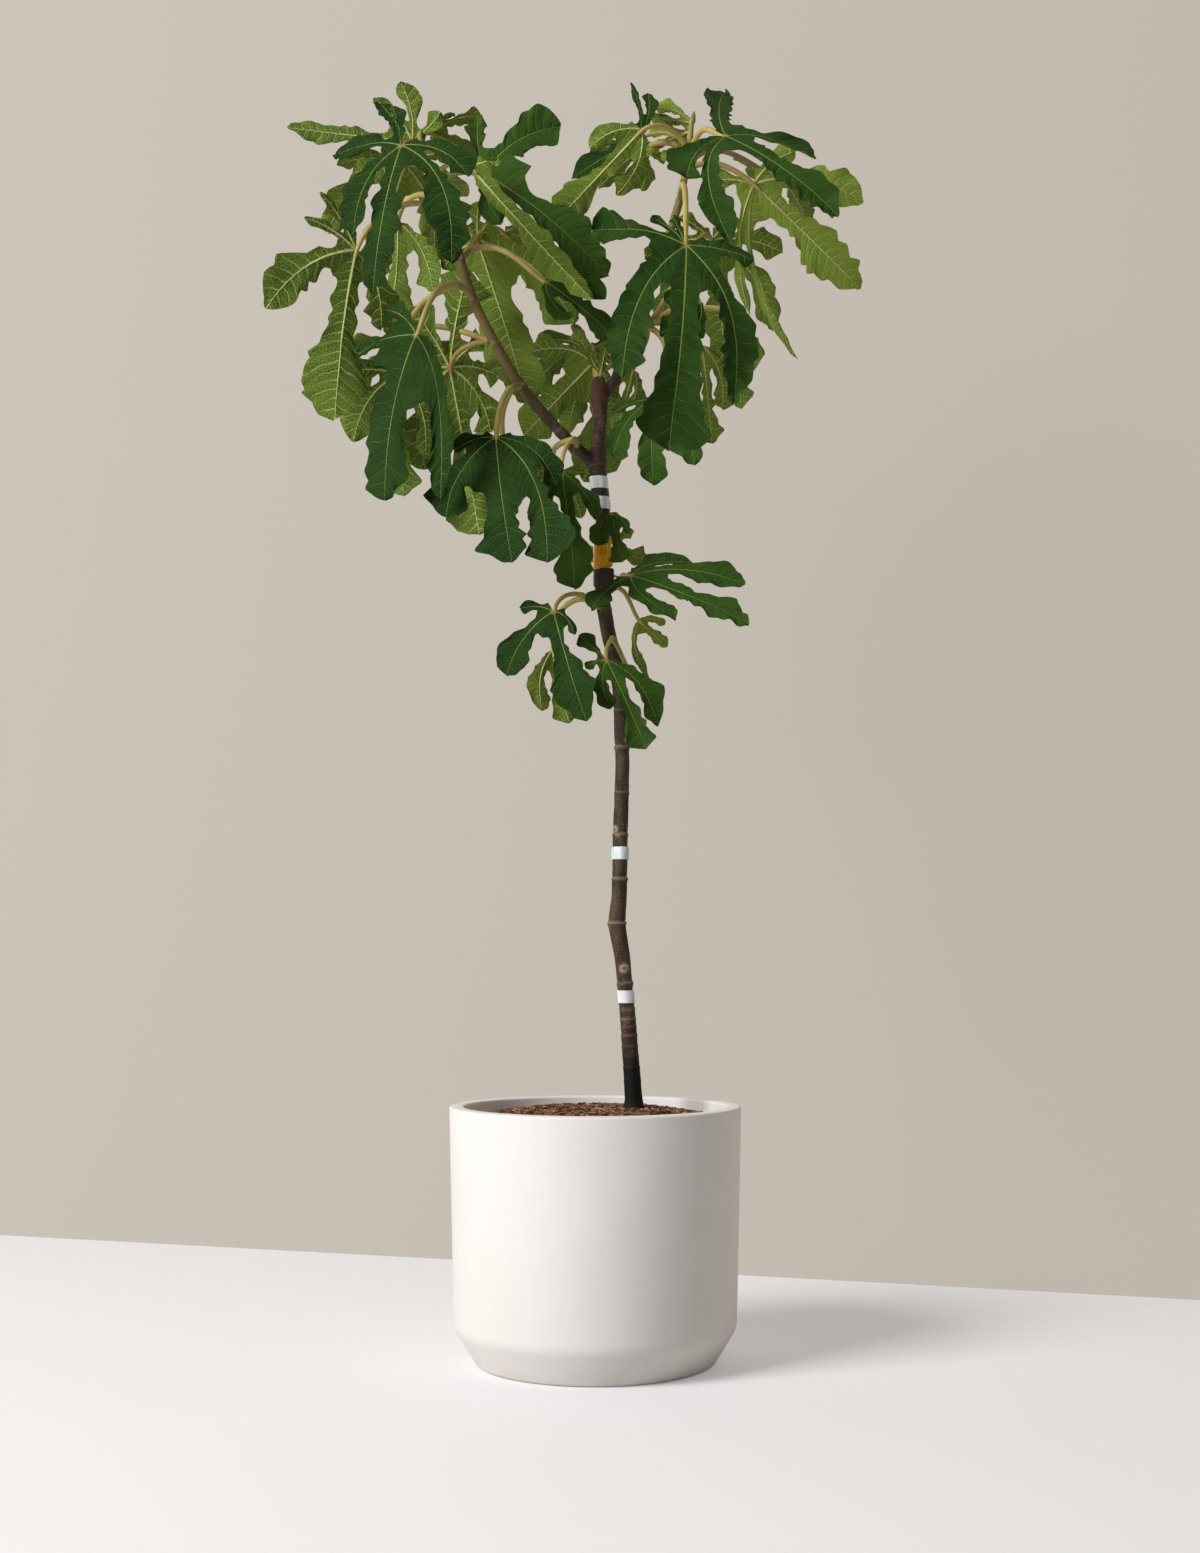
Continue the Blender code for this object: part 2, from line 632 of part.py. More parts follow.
def lobe_side(lobes, k, turn, length):
    """The rows across one half of a lobe, each with its share of the midrib, its place on the
    edge, half the lobe's width there and its share of the free length."""
    lobe = lobes[k]
    if 0 <= k + turn < len(lobes):
        other = lobes[k + turn]
        gap = abs(other["start"] - lobe["start"])
        tight = math.radians(TIGHT_SINUS_TURN)
        depth = SINUS_DEPTH * (1 + max(0.0, (tight - gap) / tight))
        mean = (lobe["reach"] + other["reach"]) / 2
        sinus = min(depth * mean, 0.7 * lobe["reach"], 0.7 * other["reach"])
        border = (heading_at(lobe, sinus) + heading_at(other, sinus)) / 2
    else:
        sinus = min(HEEL_DEPTH * length, 0.5 * lobe["reach"])
        limit = math.radians(LOBE_SPREAD_LIMIT)
        border = max(-limit, min(limit, lobe["start"] + turn * math.radians(HEEL_ANGLE)))
    slope = abs(border - heading_at(lobe, sinus))
    along = sinus * math.cos(slope) / lobe["reach"]
    across = sinus * math.sin(slope)
    first = max(0.4 * along, along - ROW_SLANT * across / lobe["reach"])
    rows = [(first, turned_by(border, sinus), across, 0.0)]
    outline = LOBE_OUTLINE
    if lobe["reach"] < SHORT_LOBE:
        outline = SMALL_OUTLINE if lobe["reach"] < SMALL_LOBE else SHORT_OUTLINE
    for share, width in outline[:-1]:
        t = along + (1 - along) * share
        place, run = lobe_at(lobe, t)
        half = width * lobe["half"]
        if len(lobes) > 1:
            half = min(half, SINUS_CLEAR * room(place, lobes[(k + turn) % len(lobes)]))
        side = Vector((-run.y, run.x)) * turn * half
        rows.append((t - ROW_SLANT * half / lobe["reach"], place + side, half, share))
    return rows


def make_blade(name, spec, seed, group):
    """One blade as a closed solid, placed between its petiole and its tip."""
    rng = random.Random(seed)
    chord = spec["tip"] - spec["base"]
    droop = spec["droop"]
    length = chord.length * (droop / 2) / math.sin(droop / 2)
    axis = chord.normalized()
    face = Vector((math.sin(spec["faces"]), -math.cos(spec["faces"]), spec["up"]))
    face = (face - face.dot(axis) * axis).normalized()
    forward = axis * math.cos(droop / 2) + face * math.sin(droop / 2)
    normal = face * math.cos(droop / 2) - axis * math.sin(droop / 2)
    left = normal.cross(forward)
    bm = bmesh.new()
    rise = bm.verts.layers.float_vector.new("rise")

    def corner(flat, lift):
        """A flat place of the blade on its drooping face, lifted from it."""
        radius = max(flat.length, 1e-9)
        c, s = flat.x / radius, flat.y / radius
        bend = droop / length * (0.4 + 0.6 * (1 + c) / 2)
        turn = bend * radius
        reach = math.sin(turn) / bend
        up = Vector((math.sin(turn) * c, math.sin(turn) * s, math.cos(turn)))
        local = Vector((reach * c, reach * s, (math.cos(turn) - 1) / bend)) + up * lift
        vert = bm.verts.new(spec["base"] + forward * local.x + left * local.y + normal * local.z)
        vert[rise] = forward * up.x + left * up.y + normal * up.z
        return vert

    lobes = blade_lobes(length, spec, rng)
    for k, lobe in enumerate(lobes):
        sides = [lobe_side(lobes, k, turn, length) for turn in (-1, 1)]
        middle = [corner(Vector((0.0, 0.0)), 0.0)]
        reached = 0.0
        for right_row, left_row in zip(*sides):
            reached = max(reached + 0.04, (right_row[0] + left_row[0]) / 2)
            middle.append(corner(lobe_at(lobe, reached)[0], 0.0))
        middle.append(corner(lobe_at(lobe, 1.0)[0], 0.0))
        for turn, rows in zip((-1, 1), sides):
            phase = rng.uniform(0, math.tau)
            edge = [middle[0]]
            for _, place, half, share in rows:
                wave = EDGE_WAVE * length * share * math.sin(phase + share * 5.0)
                edge.append(corner(place, LEAF_FOLD * half + wave))
            edge.append(middle[-1])
            for i in range(1, len(middle)):
                corners = []
                for vert in (middle[i - 1], middle[i], edge[i], edge[i - 1]):
                    if vert not in corners:
                        corners.append(vert)
                bm.faces.new(corners if turn > 0 else corners[::-1])
    bmesh.ops.remove_doubles(bm, verts=bm.verts, dist=0.00002)
    bmesh.ops.triangulate(bm, faces=bm.faces[:])
    half_depth = blade_thickness(length) / 2
    upper = bm.verts[:]
    rim = [edge for edge in bm.edges if edge.is_boundary]
    copied = bmesh.ops.duplicate(bm, geom=bm.faces[:])
    lower = [item for item in copied["geom"] if isinstance(item, bmesh.types.BMVert)]
    under = [item for item in copied["geom"] if isinstance(item, bmesh.types.BMFace)]
    bmesh.ops.reverse_faces(bm, faces=under)
    for vert in upper:
        vert.co += vert[rise].normalized() * half_depth
    for vert in lower:
        vert.co -= vert[rise].normalized() * half_depth
    for edge in rim:
        a, b = edge.verts
        c, d = copied["vert_map"][b], copied["vert_map"][a]
        bm.faces.new((a, b, c, d))
    bmesh.ops.triangulate(bm, faces=[face for face in bm.faces if len(face.verts) > 3])
    bmesh.ops.recalc_face_normals(bm, faces=bm.faces)
    mesh = bpy.data.meshes.new(name)
    bm.to_mesh(mesh)
    bm.free()
    return new_object(name, mesh, group), forward, normal, length


def petiole_path(root, leave, base, forward):
    """A petiole that leaves its stem in one direction and runs into the blade along another."""
    reach = (base - root).length
    a = root
    b = root + leave.normalized() * reach * 0.45
    d = base + forward * PETIOLE_SINK
    c = base - forward * reach * 0.30
    path = []
    for k in range(PETIOLE_STEPS + 1):
        t = k / PETIOLE_STEPS
        point = a * (1 - t) ** 3 + b * 3 * t * (1 - t) ** 2 + c * 3 * t * t * (1 - t) + d * t ** 3
        radius = PETIOLE_ROOT_RADIUS + (PETIOLE_TIP_RADIUS - PETIOLE_ROOT_RADIUS) * t
        path.append((*point, radius))
    return path


def make_mass(name, group, scratch, material):
    """One mass of foliage: its stem, its petioles and its blades, fused into one solid."""
    mass = MASSES[name]
    tip_mass = mass["height"] is None
    rows = LIMBS[mass["limb"]]
    if tip_mass:
        end, before = Vector(rows[-1][:3]), Vector(limb_path(mass["limb"])[-2][:3])
        start = end + (end - before).normalized() * GAP
        first_radius = rows[-1][3]
    else:
        start = limb_at(mass["limb"], mass["height"])
        first_radius = mass["radius"]
    places = [start] + [Vector(p) for p in mass["stem"]]
    if tip_mass:
        places.insert(1, start + (end - before).normalized() * 0.004)
    count = len(places) - 1
    last_radius = mass["radius"] * 0.8
    radii = [first_radius + (last_radius - first_radius) * i / count for i in range(count + 1)]
    stem_rows = [(*p, r) for p, r in zip(places, radii)]
    path = stem_rows[:1] + smooth_path(stem_rows[1:], 2) if tip_mass else smooth_path(stem_rows, 2)
    stem = tube(name, path, 2, group, material)
    if not tip_mass:
        cut(stem, limb(mass["limb"], scratch, None, GAP, "_seat"))
    pieces = bpy.data.collections.new(name + "_pieces")
    bpy.context.scene.collection.children.link(pieces)
    first = 0.25 if tip_mass else 0.55
    total = len(mass["leaves"])
    for index, spec in enumerate(mass["leaves"]):
        share = first + (0.93 - first) * (index + 1) / total
        spot = share * count
        k = min(int(spot), count - 1)
        root = places[k].lerp(places[k + 1], spot - k)
        rise = (places[k + 1] - places[k]).normalized()
        out = spec["base"] - root
        leave = out.normalized() + rise * 0.8 + Vector((0, 0, 0.35))
        blade, forward, normal, length = make_blade(
            "%s_blade_%d" % (name, index), spec, "%s %d" % (name, index), pieces)
        sink = spec["base"] - normal * blade_thickness(length) / 2
        tube("%s_petiole_%d" % (name, index), petiole_path(root, leave, sink, forward), 0, pieces)
    join_all(stem, pieces)
    bpy.data.collections.remove(pieces)
    stem.data.materials.clear()
    stem.data.materials.append(material)
    for face in stem.data.polygons:
        face.material_index = 0
        face.use_smooth = False
    return stem


def main():
    clear_scene()
    tree = make_collection("fig_tree_in_planter")
    scratch = make_collection("cutters")
    scratch.hide_render = True
    materials = {name: make_material(name) for name in MATERIALS}
    make_pot(tree, materials["planter_white"])
    make_soil(tree, materials["soil"])
    limb("trunk", tree, materials["bark"])
    for name in ("bough_left", "bough_right"):
        bough = limb(name, tree, materials["bark"])
        cut(bough, limb("trunk", scratch, None, GAP, "_seat"))
    for name, (_, _, material) in TIES.items():
        make_band(name, tree, scratch, materials[material])
    for name in MASSES:
        make_mass(name, tree, scratch, materials["leaf_green"])
    bpy.data.collections.remove(scratch)


main()
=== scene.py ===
import math
import random

import bmesh
import bpy
from mathutils import Matrix, Vector, noise


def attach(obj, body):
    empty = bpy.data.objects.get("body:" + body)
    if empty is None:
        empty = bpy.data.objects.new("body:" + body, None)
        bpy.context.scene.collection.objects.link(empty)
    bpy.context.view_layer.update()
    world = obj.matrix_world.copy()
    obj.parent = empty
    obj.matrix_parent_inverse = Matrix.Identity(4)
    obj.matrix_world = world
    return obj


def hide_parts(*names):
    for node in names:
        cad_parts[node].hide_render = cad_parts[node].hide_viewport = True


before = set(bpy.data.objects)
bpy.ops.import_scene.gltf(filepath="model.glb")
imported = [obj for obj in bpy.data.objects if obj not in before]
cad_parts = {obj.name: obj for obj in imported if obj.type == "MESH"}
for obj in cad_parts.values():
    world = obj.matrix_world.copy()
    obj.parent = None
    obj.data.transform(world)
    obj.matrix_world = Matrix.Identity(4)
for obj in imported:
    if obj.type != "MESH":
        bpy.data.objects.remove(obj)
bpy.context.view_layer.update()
scene = bpy.context.scene
scene.view_settings.view_transform = "Standard"
print("frame loaded")


def addNode(tree, kind, inputs=None, **settings):
    # the settings come first, because a group's sockets depend on them
    made = tree.nodes.new(kind)
    for key, value in settings.items():
        setattr(made, key, value)
    for key, value in (inputs or {}).items():
        socket = made.inputs[key]
        if isinstance(value, bpy.types.NodeSocket):
            tree.links.new(value, socket)
        else:
            socket.default_value = value
    return made


def maths(tree, operation, a, b=0.0, c=0.0):
    return addNode(tree, "ShaderNodeMath", {0: a, 1: b, 2: c}, operation=operation).outputs[0]


def blend(tree, share, a, b):
    made = addNode(tree, "ShaderNodeMix", {0: share}, data_type="RGBA")
    for index, value in ((6, a), (7, b)):
        if isinstance(value, bpy.types.NodeSocket):
            tree.links.new(value, made.inputs[index])
        else:
            made.inputs[index].default_value = (*value, 1.0)
    return made.outputs[2]


def ramp(tree, value, low, high, toLow=0.0, toHigh=1.0, kind="SMOOTHSTEP"):
    return addNode(tree, "ShaderNodeMapRange", {0: value, 1: low, 2: high, 3: toLow, 4: toHigh},
                   interpolation_type=kind).outputs[0]


def noiseMask(tree, vector, scale, detail):
    return addNode(tree, "ShaderNodeTexNoise",
                   {"Vector": vector, "Scale": scale, "Detail": detail, "Roughness": 0.55}).outputs[0]


def cellMask(tree, vector, scale, low, high, strength):
    # small round dots, strongest at the middle of each cell
    cells = addNode(tree, "ShaderNodeTexVoronoi", {"Vector": vector, "Scale": scale, "Randomness": 1.0})
    return ramp(tree, cells.outputs["Distance"], low, high, strength, 0.0)


def newGroup(name, vectors, numbers):
    tree = bpy.data.node_groups.new(name, "ShaderNodeTree")
    for label in vectors:
        tree.interface.new_socket(name=label, in_out="INPUT", socket_type="NodeSocketVector")
    for label in numbers:
        tree.interface.new_socket(name=label, in_out="INPUT", socket_type="NodeSocketFloat")
    return tree, tree.nodes.new("NodeGroupInput").outputs


def endGroup(tree, results):
    for label in results:
        tree.interface.new_socket(name=label, in_out="OUTPUT", socket_type="NodeSocketFloat")
    end = tree.nodes.new("NodeGroupOutput")
    for label, value in results.items():
        tree.links.new(value, end.inputs[label])
    return tree


def newMaterial(name, roughness, specular):
    material = bpy.data.materials.new(name)
    material.use_nodes = True
    tree = material.node_tree
    shader = tree.nodes["Principled BSDF"]
    shader.inputs["Roughness"].default_value = roughness
    shader.inputs["Specular IOR Level"].default_value = specular
    return material, tree, shader


def finishSurface(tree, shader, colour, height, bump, rough=None):
    strength, distance = bump
    raised = addNode(tree, "ShaderNodeBump", {"Strength": strength, "Distance": distance, "Height": height})
    tree.links.new(colour, shader.inputs["Base Color"])
    tree.links.new(raised.outputs[0], shader.inputs["Normal"])
    if rough is not None:
        tree.links.new(rough, shader.inputs["Roughness"])


def objectPlace(tree):
    return tree.nodes.new("ShaderNodeTexCoord").outputs["Object"]


def axesOf(tree, vector):
    return addNode(tree, "ShaderNodeSeparateXYZ", {0: vector}).outputs


def toneParts(tree, name):
    # the four channels of a piece's own tones
    tone = addNode(tree, "ShaderNodeAttribute", attribute_name=name)
    parts = addNode(tree, "ShaderNodeSeparateColor", {0: tone.outputs["Color"]})
    return (*parts.outputs, tone.outputs["Alpha"])


def makeGrainGroup():
    # two sizes of noise, for any surface
    tree, given = newGroup("surfaceGrain", ["Vector"], ["Coarse", "Fine", "Stretch"])
    x, y, z = axesOf(tree, given["Vector"])
    tall = maths(tree, "MULTIPLY", z, given["Stretch"])
    place = addNode(tree, "ShaderNodeCombineXYZ", {0: x, 1: y, 2: tall}).outputs[0]
    return endGroup(tree, {
        "Coarse": noiseMask(tree, place, given["Coarse"], 4.0),
        "Fine": noiseMask(tree, place, given["Fine"], 2.0),
    })


veinForm = {
    "taper": -0.78, "scale": (0.75, 0.4), "ribEdge": (0.55, 1.45), "lateralEdge": (0.4, 1.6),
    "wander": 38.0, "sway": 1.15, "thin": -0.62, "cells": 260.0, "netEdge": (0.02, 0.13),
    "heartEdge": (0.0016, 0.0048),
}


def makeVeinGroup():
    # midribs, side veins and the fine net of a leaf, from the blade's own two maps
    tree, given = newGroup("leafVeins", ["Ribs", "Laterals"], ["Along", "Size", "Rib Width", "Lateral Width"])

    def line(distance, width, core, edge):
        core, edge = (maths(tree, "MULTIPLY", width, share) for share in (core, edge))
        return ramp(tree, distance, core, edge, 1.0, 0.0)

    fromRib = maths(tree, "ABSOLUTE", axesOf(tree, given["Ribs"])[1])
    taper = maths(tree, "MULTIPLY_ADD", given["Along"], veinForm["taper"], 1.0)
    scale = maths(tree, "MULTIPLY_ADD", given["Size"], *veinForm["scale"])
    half = maths(tree, "MULTIPLY", maths(tree, "MULTIPLY", given["Rib Width"], taper), scale)
    sides = axesOf(tree, given["Laterals"])
    wander = noiseMask(tree, given["Ribs"], veinForm["wander"], 2.0)
    phase = maths(tree, "MULTIPLY_ADD", wander, veinForm["sway"], sides[0])
    saw = maths(tree, "ABSOLUTE", maths(tree, "SUBTRACT", maths(tree, "FRACT", phase), 0.5))
    thin = maths(tree, "MULTIPLY_ADD", sides[1], veinForm["thin"], 1.0)
    width = maths(tree, "MULTIPLY", given["Lateral Width"], thin)
    cells = addNode(tree, "ShaderNodeTexVoronoi",
                    {"Vector": given["Ribs"], "Scale": veinForm["cells"], "Randomness": 0.9},
                    voronoi_dimensions="2D", feature="DISTANCE_TO_EDGE").outputs["Distance"]
    fromHeart = addNode(tree, "ShaderNodeVectorMath", {0: given["Ribs"]}, operation="LENGTH").outputs["Value"]
    hump = maths(tree, "MULTIPLY", saw, 2.0)
    return endGroup(tree, {
        "Rib": line(fromRib, half, *veinForm["ribEdge"]),
        "Lateral": line(maths(tree, "SUBTRACT", 0.5, saw), width, *veinForm["lateralEdge"]),
        "Net": ramp(tree, cells, *veinForm["netEdge"], 1.0, 0.0),
        "Quilt": maths(tree, "SUBTRACT", 1.0, maths(tree, "MULTIPLY", hump, hump)),
        "Heart": ramp(tree, fromHeart, *veinForm["heartEdge"], 1.0, 0.0),
    })


grainGroup = makeGrainGroup()
veinGroup = makeVeinGroup()


def addGrain(tree, place, finish):
    made = addNode(tree, "ShaderNodeGroup", {
        "Vector": place, "Coarse": finish["coarse"], "Fine": finish["fine"],
        "Stretch": finish.get("stretch", 1.0),
    }, node_tree=grainGroup).outputs
    return made["Coarse"], made["Fine"]


leafFinish = {
    "upper": {
        "dark": (0.0080, 0.0285, 0.0045), "light": (0.044, 0.102, 0.0150), "young": (0.120, 0.190, 0.026),
        "rib": (0.260, 0.330, 0.085), "vein": (0.105, 0.180, 0.040),
        "plain": (0.62, 0.055), "rough": (0.56, 0.74), "ribWidth": 0.00108, "lateralWidth": 0.044,
        "netShare": 0.16, "lateralShare": 0.48, "ribShare": 0.78, "veinHeight": -0.45, "netHeight": -0.16,
    },
    "under": {
        "dark": (0.058, 0.104, 0.011), "light": (0.180, 0.262, 0.030), "young": (0.215, 0.270, 0.036),
        "rib": (0.560, 0.600, 0.230), "vein": (0.430, 0.520, 0.150),
        "plain": (0.70, 0.08), "rough": (0.66, 0.84), "ribWidth": 0.00185, "lateralWidth": 0.078,
        "netShare": 0.30, "lateralShare": 0.72, "ribShare": 0.90, "veinHeight": 0.85, "netHeight": 0.14,
    },
    "heart": (0.420, 0.270, 0.080), "heartShare": 0.8, "brown": (0.085, 0.048, 0.014), "patches": 34.0,
    "coarse": 22.0, "fine": 420.0, "toneShare": 0.78, "cloudShare": 0.30, "quilt": 0.36, "grain": 0.14,
    "bump": (0.95, 0.0012),
}


def leafMaterial(name, side):
    look = leafFinish[side]
    material, tree, shader = newMaterial(name, *look["plain"])
    shade, young, along, size = toneParts(tree, "leafTone")
    veins = addNode(tree, "ShaderNodeGroup", {
        "Ribs": addNode(tree, "ShaderNodeUVMap", uv_map="ribs").outputs[0],
        "Laterals": addNode(tree, "ShaderNodeUVMap", uv_map="laterals").outputs[0],
        "Along": along, "Size": size, "Rib Width": look["ribWidth"], "Lateral Width": look["lateralWidth"],
    }, node_tree=veinGroup).outputs
    rib, lateral, net = veins["Rib"], veins["Lateral"], veins["Net"]
    place = objectPlace(tree)
    coarse, fine = addGrain(tree, place, leafFinish)
    cloudy = maths(tree, "MULTIPLY", ramp(tree, coarse, 0.30, 0.72), leafFinish["cloudShare"])
    # the leaf's tone value lightens or darkens the blade; beside its own tone this paints in light and shade
    # for each leaf
    light = maths(tree, "MULTIPLY_ADD", shade, leafFinish["toneShare"], cloudy)
    colour = blend(tree, light, look["dark"], look["light"])
    colour = blend(tree, young, colour, look["young"])
    colour = blend(tree, maths(tree, "MULTIPLY", net, look["netShare"]), colour, look["vein"])
    # brown patches on young leaves only
    patch = ramp(tree, noiseMask(tree, place, leafFinish["patches"], 4.0), 0.64, 0.76, 0.0, 0.75)
    colour = blend(tree, maths(tree, "MULTIPLY", patch, young), colour, leafFinish["brown"])
    colour = blend(tree, maths(tree, "MULTIPLY", lateral, look["lateralShare"]), colour, look["vein"])
    colour = blend(tree, maths(tree, "MULTIPLY", rib, look["ribShare"]), colour, look["rib"])
    heart = maths(tree, "MULTIPLY", veins["Heart"], leafFinish["heartShare"])
    colour = blend(tree, heart, colour, leafFinish["heart"])
    quilt = maths(tree, "MULTIPLY", veins["Quilt"], leafFinish["quilt"])
    height = maths(tree, "MULTIPLY_ADD", maths(tree, "MAXIMUM", rib, lateral), look["veinHeight"], quilt)
    height = maths(tree, "MULTIPLY_ADD", net, look["netHeight"], height)
    height = maths(tree, "MULTIPLY_ADD", fine, leafFinish["grain"], height)
    finishSurface(tree, shader, colour, height, leafFinish["bump"],
                  ramp(tree, fine, 0.2, 0.8, *look["rough"]))
    return material


stalkFinish = {
    "green": (0.190, 0.210, 0.045), "yellow": (0.500, 0.385, 0.110), "red": (0.190, 0.070, 0.035),
    "dark": (0.030, 0.022, 0.014), "plain": (0.5, 0.4), "rough": (0.42, 0.62), "coarse": 70.0,
    "fine": 600.0, "stretch": 0.5, "spread": 0.22, "bump": (0.35, 0.0005),
}


def stalkMaterial():
    material, tree, shader = newMaterial("stalkSkin", *stalkFinish["plain"])
    yellow, red, dark, _ = toneParts(tree, "stalkTone")
    coarse, fine = addGrain(tree, objectPlace(tree), stalkFinish)
    spread = ramp(tree, coarse, 0.3, 0.7, -stalkFinish["spread"], stalkFinish["spread"])
    colour = blend(tree, maths(tree, "ADD", yellow, spread), stalkFinish["green"], stalkFinish["yellow"])
    colour = blend(tree, red, colour, stalkFinish["red"])
    colour = blend(tree, dark, colour, stalkFinish["dark"])
    finishSurface(tree, shader, colour, fine, stalkFinish["bump"],
                  ramp(tree, fine, 0.2, 0.8, *stalkFinish["rough"]))
    return material


barkFinish = {
    "brown": (0.031, 0.019, 0.012), "grey": (0.088, 0.062, 0.041), "young": (0.205, 0.152, 0.046),
    "red": (0.082, 0.026, 0.016), "wet": (0.0045, 0.0040, 0.0042), "scar": (0.480, 0.370, 0.260),
    "plain": (0.8, 0.3), "rough": (0.62, 0.9), "coarse": 120.0, "fine": 700.0, "stretch": 0.30,
    "dots": 170.0, "dotStretch": (1.0, 1.0, 2.6), "bump": (0.65, 0.0009),
}


def barkMaterial():
    material, tree, shader = newMaterial("barkSkin", *barkFinish["plain"])
    young, wet, pale, red = toneParts(tree, "barkTone")
    place = objectPlace(tree)
    coarse, fine = addGrain(tree, place, barkFinish)
    colour = blend(tree, ramp(tree, coarse, 0.32, 0.70), barkFinish["brown"], barkFinish["grey"])
    colour = blend(tree, young, colour, barkFinish["young"])
    # pale lenticels across the bark
    lens = addNode(tree, "ShaderNodeMapping", {"Vector": place, "Scale": barkFinish["dotStretch"]}).outputs[0]
    spots = cellMask(tree, lens, barkFinish["dots"], 0.08, 0.24, 0.40)
    colour = blend(tree, spots, colour, barkFinish["scar"])
    colour = blend(tree, pale, colour, barkFinish["scar"])
    red = maths(tree, "MULTIPLY", red, ramp(tree, coarse, 0.25, 0.6, 0.5, 1.0))
    colour = blend(tree, red, colour, barkFinish["red"])
    colour = blend(tree, wet, colour, barkFinish["wet"])
    height = maths(tree, "MULTIPLY_ADD", coarse, 1.0, maths(tree, "MULTIPLY", fine, 0.4))
    height = maths(tree, "MULTIPLY_ADD", spots, 0.8, height)
    finishSurface(tree, shader, colour, height, barkFinish["bump"],
                  ramp(tree, fine, 0.2, 0.8, *barkFinish["rough"]))
    return material


potFinish = {
    "white": (0.850, 0.825, 0.808), "cloud": (0.820, 0.792, 0.772), "speck": (0.560, 0.520, 0.480),
    "dust": (0.720, 0.680, 0.640), "dustTop": 0.022, "plain": (0.5, 0.4), "rough": (0.44, 0.60),
    "coarse": 7.0, "fine": 520.0, "specks": 210.0, "bump": (0.30, 0.0008),
}


def potMaterial():
    material, tree, shader = newMaterial("potWhite", *potFinish["plain"])
    place = objectPlace(tree)
    coarse, fine = addGrain(tree, place, potFinish)
    colour = blend(tree, ramp(tree, coarse, 0.34, 0.68), potFinish["white"], potFinish["cloud"])
    specks = cellMask(tree, place, potFinish["specks"], 0.03, 0.10, 0.22)
    colour = blend(tree, specks, colour, potFinish["speck"])
    # uneven dust round the foot
    foot = ramp(tree, axesOf(tree, place)[2], 0.0, potFinish["dustTop"], 0.5, 0.0)
    dust = maths(tree, "MULTIPLY", foot, ramp(tree, noiseMask(tree, place, 30.0, 4.0), 0.35, 0.7))
    colour = blend(tree, dust, colour, potFinish["dust"])
    height = maths(tree, "MULTIPLY_ADD", coarse, 1.6, maths(tree, "MULTIPLY", fine, 0.22))
    finishSurface(tree, shader, colour, height, potFinish["bump"],
                  ramp(tree, fine, 0.25, 0.75, *potFinish["rough"]))
    return material


soilFinish = {
    "dark": (0.016, 0.009, 0.006), "brown": (0.290, 0.135, 0.074), "tan": (0.700, 0.450, 0.280),
    "plain": (0.92, 0.2), "coarse": 90.0, "fine": 600.0, "bump": (0.8, 0.0012),
}


def soilMaterial(name, chips):
    material, tree, shader = newMaterial(name, *soilFinish["plain"])
    coarse, fine = addGrain(tree, objectPlace(tree), soilFinish)
    if chips:
        brown, tan, _, _ = toneParts(tree, "chipTone")
        share = maths(tree, "MULTIPLY_ADD", fine, 0.3, maths(tree, "SUBTRACT", brown, 0.15))
    else:
        share = ramp(tree, coarse, 0.4, 0.8)
    colour = blend(tree, share, soilFinish["dark"], soilFinish["brown"])
    if chips:
        colour = blend(tree, tan, colour, soilFinish["tan"])
    finishSurface(tree, shader, colour, fine, soilFinish["bump"])
    return material


tapeFinish = {
    "coarse": 260.0, "fine": 500.0, "stretch": 0.12, "bump": (0.45, 0.0006), "specular": 0.5,
    # name, colour, painted shade of its creases, roughness
    "kinds": {
        "tie_white": ("tapeWhite", (0.86, 0.90, 0.92), (0.56, 0.66, 0.68), 0.42),
        "label_black": ("tapeBlack", (0.030, 0.026, 0.022), (0.012, 0.011, 0.010), 0.45),
        "label_yellow": ("tapeYellow", (0.86, 0.44, 0.006), (0.66, 0.29, 0.004), 0.45),
    },
}


def tapeMaterial(name, colour, shadow, roughness):
    material, tree, shader = newMaterial(name, roughness, tapeFinish["specular"])
    coarse, fine = addGrain(tree, objectPlace(tree), tapeFinish)
    # painted shade: noise streaks of the darker crease colour over the tape, standing in for shade in its
    # creases
    paintedCreaseShade = blend(tree, ramp(tree, coarse, 0.36, 0.66), shadow, colour)
    finishSurface(tree, shader, paintedCreaseShade, coarse, tapeFinish["bump"],
                  ramp(tree, fine, 0.2, 0.8, roughness - 0.1, roughness + 0.14))
    return material


leafSkins = [leafMaterial("leafUpper", "upper"), leafMaterial("leafUnder", "under")]
stalkSkin = stalkMaterial()
barkSkin = barkMaterial()
potWhite = potMaterial()
soilGround = soilMaterial("soilGround", False)
soilChip = soilMaterial("soilChip", True)
tapes = {slot: tapeMaterial(*look) for slot, look in tapeFinish["kinds"].items()}
print("finishes made")


def newPiece(bm, name, materials, nodes, slot, sharp):
    # sharp is the angle in radians from which an edge stays hard
    mesh = bpy.data.meshes.new(name)
    bm.to_mesh(mesh)
    bm.free()
    piece = bpy.data.objects.new(name, mesh)
    scene.collection.objects.link(piece)
    for material in materials:
        mesh.materials.append(material)
    mesh.polygons.foreach_set("use_smooth", [True] * len(mesh.polygons))
    mesh.set_sharp_from_angle(angle=sharp)
    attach(piece, "root")
    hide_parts(*nodes)
    mesh.calc_loop_triangles()
    print(name, len(mesh.loop_triangles), "triangles")


def camelName(name):
    first, *others = name.split("_")
    return first + "".join(word.capitalize() for word in others)


def joinInto(bm, fresh):
    # a small bmesh is quick to work in, and then goes into its piece
    holder = bpy.data.meshes.new("part")
    fresh.to_mesh(holder)
    fresh.free()
    bm.from_mesh(holder)
    bpy.data.meshes.remove(holder)


